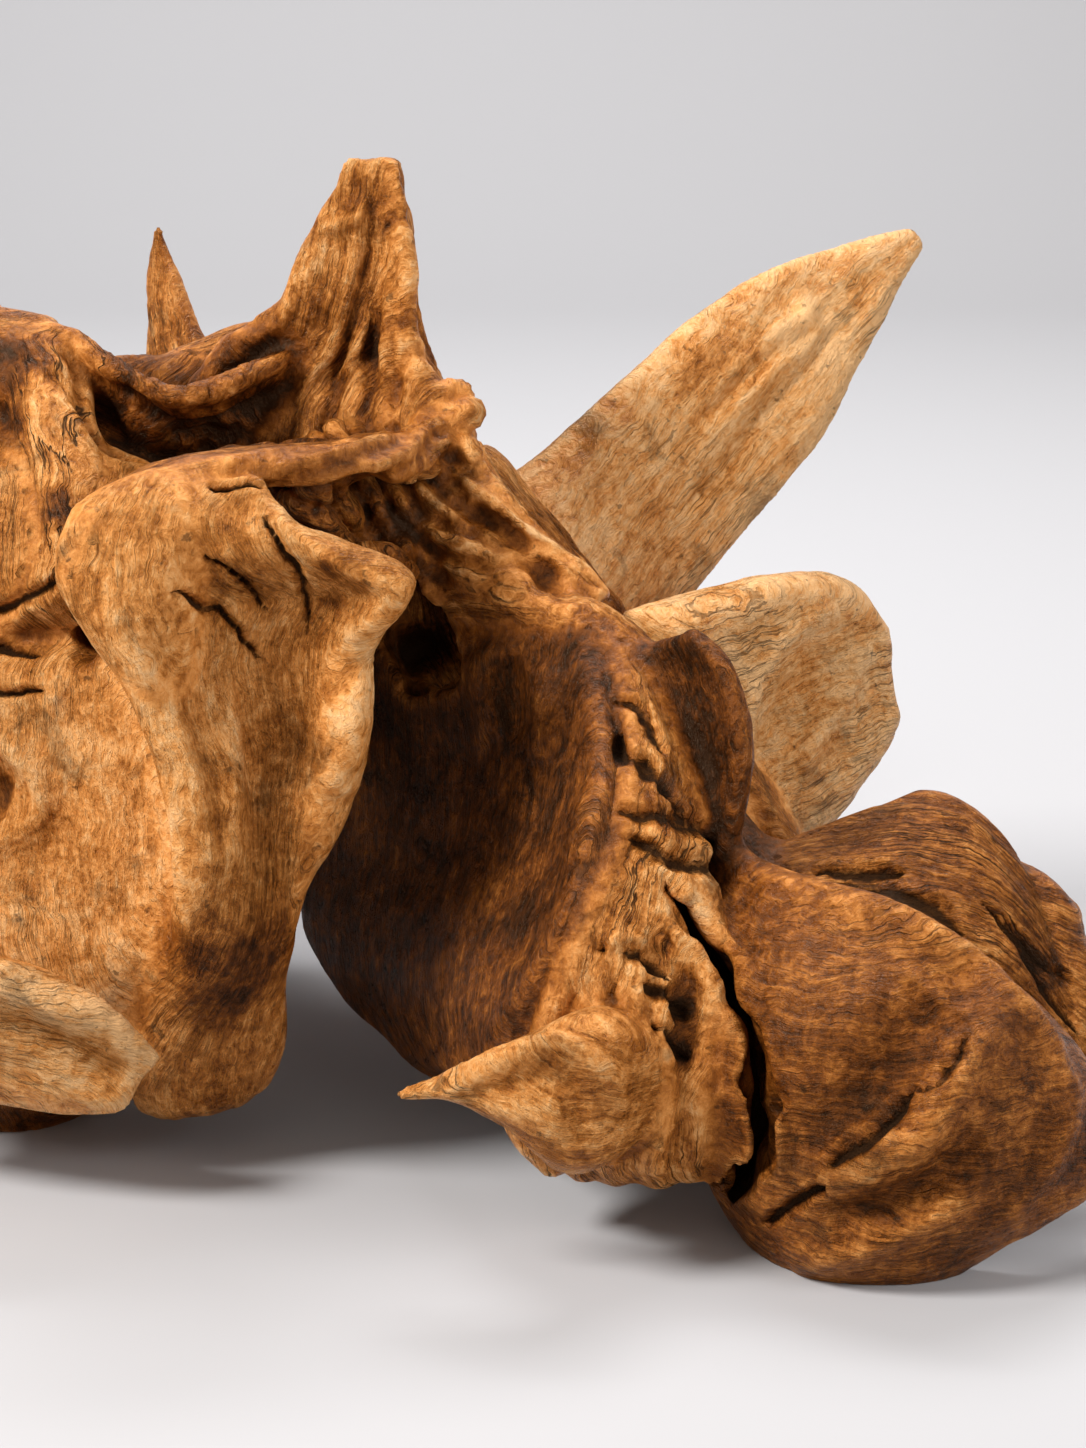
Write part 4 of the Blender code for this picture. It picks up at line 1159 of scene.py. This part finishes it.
def polished_wood():
    make = Nodes("polished_wood")
    place = make.add("ShaderNodeTexCoord", {}, "Object")
    grain = make.note("grain", "Vector")
    warp = make.add("ShaderNodeTexNoise", {"Vector": place, "Scale": 48.0, "Detail": 3.0}, "Color")
    warp = make.vector("SUBTRACT", warp, (0.5, 0.5, 0.5))
    curl = make.vector("ADD", grain, make.vector("MULTIPLY", warp, (26.0, 9.0, 0.0)))
    inside = make.maths("SUBTRACT", 1.0, make.note("seam"))
    painted_shade = make.note("painted_shade")
    painted_highlight = make.note("painted_highlight")
    rough = make.note("rough")
    patch = make.note("patch")

    def along(stretch, detail, roughness):
        """Noise along the grain from -0.5 to 0.5 that fades out at the seams between limbs."""
        pattern = make.noise(make.vector("MULTIPLY", curl, stretch), 1.0, detail, roughness)
        return make.maths("MULTIPLY", make.maths("SUBTRACT", pattern, 0.5), inside)

    # Along the grain: broad bands, streaks, single fibres and fine drying checks.
    bands = along((0.022, 0.17, 1.0), 5.0, 0.66)
    streaks = along((0.06, 0.55, 1.0), 4.0, 0.62)
    fibres = along((0.16, 1.7, 1.0), 3.0, 0.65)
    checks = along((0.020, 0.30, 1.0), 3.0, 0.5)
    # Whichever way the grain runs: blotches, grit, clouds, stains, specks, and where there are checks.
    blotch = make.maths("SUBTRACT", make.noise(place, 30.0, 8.0, 0.70, 0.8), 0.5)
    grit = make.maths("SUBTRACT", make.noise(place, 190.0, 5.0, 0.70, 0.4), 0.5)
    clouds = make.maths("SUBTRACT", make.noise(place, 9.0, 3.0, 0.5), 0.5)
    stain = make.between(make.noise(place, 21.0, 8.0, 0.66, 1.2), 0.56, 0.68)
    specks = make.between(make.noise(place, 150.0, 3.0, 0.6), 0.66, 0.72)
    where = make.between(make.noise(place, 13.0, 2.0, 0.5), 0.46, 0.60)

    # How light the wood is, with painted highlight on rims and ridges and painted shade in hollows laid on.
    tone_and_shade = make.note("tone_and_shade")
    lines = make.between(rough, 0.15, 0.7, 0.55, 1.0)
    shares = ((bands, 0.95, lines), (streaks, 1.05, lines), (fibres, 0.80, lines), (blotch, 1.35, 1.0))
    for pattern, share, strength in (*shares, (grit, 1.10, 1.0), (clouds, 0.45, 1.0)):
        tone_and_shade = make.maths("MULTIPLY_ADD", make.maths("MULTIPLY", pattern, strength), share, tone_and_shade)
    # Lighter on rims and ridges as painted highlight, darker in hollows as painted shade, and darker in the
    # dark patches.
    for pattern, share in ((painted_highlight, 0.25), (painted_shade, -0.55), (patch, -0.50)):
        tone_and_shade = make.maths("MULTIPLY_ADD", pattern, share, tone_and_shade)
    colour = make.ramp(
        make.maths("MULTIPLY", tone_and_shade, 0.8),
        (0.00, (0.026, 0.0070, 0.0008)),
        (0.16, (0.092, 0.0230, 0.0022)),
        (0.34, (0.210, 0.0590, 0.0068)),
        (0.53, (0.430, 0.145, 0.024)),
        (0.70, (0.680, 0.275, 0.068)),
        (0.84, (0.810, 0.395, 0.135)),
        (1.00, (0.890, 0.510, 0.225)),
    )
    dark = (0.020, 0.0066, 0.0012, 1.0)
    colour = make.mix(make.maths("MULTIPLY", stain, 0.55), colour, dark)
    colour = make.mix(make.maths("MULTIPLY", specks, 0.6), colour, dark)
    # The fine checks, and the deep cracks with their dark insides.
    split = make.between(make.maths("ABSOLUTE", checks), 0.004, 0.022, 1.0, 0.0)
    split = make.maths("MULTIPLY", make.maths("MULTIPLY", split, where), inside)
    split = make.maths("MULTIPLY", split, make.between(rough, 0.15, 0.6, 0.35, 1.0))
    across = make.maths("MULTIPLY", make.note("from_crack"), 0.6)
    across = make.maths("MAXIMUM", make.maths("ABSOLUTE", make.note("crack")), across)
    across = make.maths("MULTIPLY_ADD", grit, 1.2, across)
    crack = make.maths("MAXIMUM", make.between(across, 0.55, 1.25, 1.0, 0.0), split)
    # Painted shade: the most sheltered hollows are mixed further towards the dark colour.
    colour = make.mix(make.between(painted_shade, 0.5, 1.0, 0.0, 0.45), colour, dark)
    colour = make.mix(make.maths("MULTIPLY", crack, 0.93), colour, dark)

    gloss = make.between(blotch, -0.2, 0.2, 0.24, 0.44)
    gloss = make.maths("MULTIPLY_ADD", painted_shade, 0.30, gloss)
    gloss = make.maths("MULTIPLY_ADD", grit, 0.25, gloss)
    gloss = make.maths("MULTIPLY_ADD", crack, 0.40, gloss, clamp=True)

    gaps = make.maths("MULTIPLY", crack, -1.0)
    reliefs = ((bands, 0.0022), (blotch, 0.0020), (streaks, 0.0020), (fibres, 0.0013), (grit, 0.0017))
    relief = None
    for pattern, height in (*reliefs, (gaps, 0.0012)):
        relief = make.bump(pattern, height, relief)

    make.join(colour, make.shader.inputs["Base Color"])
    make.join(gloss, make.shader.inputs["Roughness"])
    make.join(relief, make.shader.inputs["Normal"])
    make.shader.inputs["Specular IOR Level"].default_value = 0.25
    make.shader.inputs["Specular Tint"].default_value = (1.0, 0.78, 0.54, 1.0)
    return make.material


def studio_grey():
    make = Nodes("studio_grey")
    make.shader.inputs["Base Color"].default_value = (0.49, 0.49, 0.51, 1.0)
    make.shader.inputs["Roughness"].default_value = 0.85
    return make.material


# ------------------------------------------------------------------ the root
def grow_root():
    skins = {name: limb_skin(*made) for name, made in LIMBS.items()}
    hollows = {name: limb_skin(*made) for name, made in HOLLOWS.items()}
    field = flatten_feet(wood_field(skins, hollows))
    surface = surface_of(field)
    names, owner, place = follow_limbs(surface, skins)
    pull_in_and_out(surface)
    sharpen(surface)
    rough, seam = grow_details(surface, owner, place, names)
    patches = dark_patches(surface.points)
    crack = open_cracks(surface)
    painted_shade, painted_highlight = shelter_and_wear(surface, field)
    notes = {
        "grain": grain_places(owner, place),
        "seam": seam,
        # Each limb's tone, partly painted shade where the limb lies in shade.
        "tone_and_shade": surface.spread(by_limb(TONE_AND_SHADE, names, owner, OTHERS_TONE), 14),
        "painted_shade": painted_shade,
        "painted_highlight": painted_highlight,
        "crack": crack,
        "from_crack": abs(crack),
        "patch": patches,
        "rough": rough,
    }
    mesh = to_mesh("root_surface", surface.points, surface.faces, notes)
    root = bpy.data.objects.new("root_surface", mesh)
    bpy.context.scene.collection.objects.link(root)
    thin_out(root, TRIANGLES)
    root.data.shade_smooth()
    root.data.materials.append(polished_wood())
    return root


# ------------------------------------------------------------------ the studio
EYE_HEIGHT_ANGLE = math.radians(16)
EYE_DISTANCE = 1.5
LENS = 85.0
LOOK_AT = Vector((-ORIGIN[0], -ORIGIN[1], 170.0)) * MM


def add_camera():
    data = bpy.data.cameras.new("camera")
    data.lens = LENS
    data.clip_end = 50.0
    camera = bpy.data.objects.new("camera", data)
    bpy.context.scene.collection.objects.link(camera)
    back = Vector((0.0, -math.cos(EYE_HEIGHT_ANGLE), math.sin(EYE_HEIGHT_ANGLE)))
    camera.location = LOOK_AT + back * EYE_DISTANCE
    camera.rotation_euler = (-back).to_track_quat("-Z", "Y").to_euler()
    bpy.context.scene.camera = camera


def add_lamp(name, place, target, size, power, colour=(1.0, 1.0, 1.0)):
    data = bpy.data.lights.new(name, "AREA")
    data.shape = "DISK"
    data.size = size
    data.energy = power
    data.color = colour
    lamp = bpy.data.objects.new(name, data)
    bpy.context.scene.collection.objects.link(lamp)
    lamp.location = place
    lamp.rotation_euler = (Vector(target) - Vector(place)).to_track_quat("-Z", "Y").to_euler()


def add_studio():
    half, front, reach, rise, bend, steps = 4.0, -4.0, 2.2, 3.0, 0.9, 12
    turns = [k / steps * math.pi / 2 for k in range(steps + 1)]
    outline = [(front, 0.0)]
    outline += [(reach + bend * math.sin(turn), bend - bend * math.cos(turn)) for turn in turns]
    outline.append((reach + bend, rise))
    points = [(side * half, y, z) for y, z in outline for side in (-1, 1)]
    faces = [(2 * k, 2 * k + 1, 2 * k + 3, 2 * k + 2) for k in range(len(outline) - 1)]
    mesh = bpy.data.meshes.new("backdrop")
    mesh.from_pydata(points, [], faces)
    mesh.shade_smooth()
    mesh.materials.append(studio_grey())
    backdrop = bpy.data.objects.new("backdrop", mesh)
    bpy.context.scene.collection.objects.link(backdrop)

    world = bpy.data.worlds.new("studio")
    bpy.context.scene.world = world
    world.use_nodes = True
    world.node_tree.nodes["Background"].inputs["Color"].default_value = (1.0, 0.94, 0.88, 1.0)
    world.node_tree.nodes["Background"].inputs["Strength"].default_value = 0.39
    middle = (0.0, 0.0, 0.2)
    add_lamp("key", (-1.3, -0.8, 1.6), middle, 0.6, 54.0, (1.0, 0.97, 0.93))
    add_lamp("fill", (1.7, -1.0, 1.0), middle, 1.0, 17.0)
    add_lamp("top", (0.3, 0.9, 1.9), middle, 1.2, 22.0)
    add_lamp("backdrop_light", (0.0, 1.3, 2.4), (0.0, 2.9, 0.5), 1.2, 38.0)
    bpy.context.scene.view_settings.view_transform = "Standard"


def main():
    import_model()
    root = grow_root()
    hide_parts("dry_root")
    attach(root, "root")
    add_camera()
    add_studio()


main()
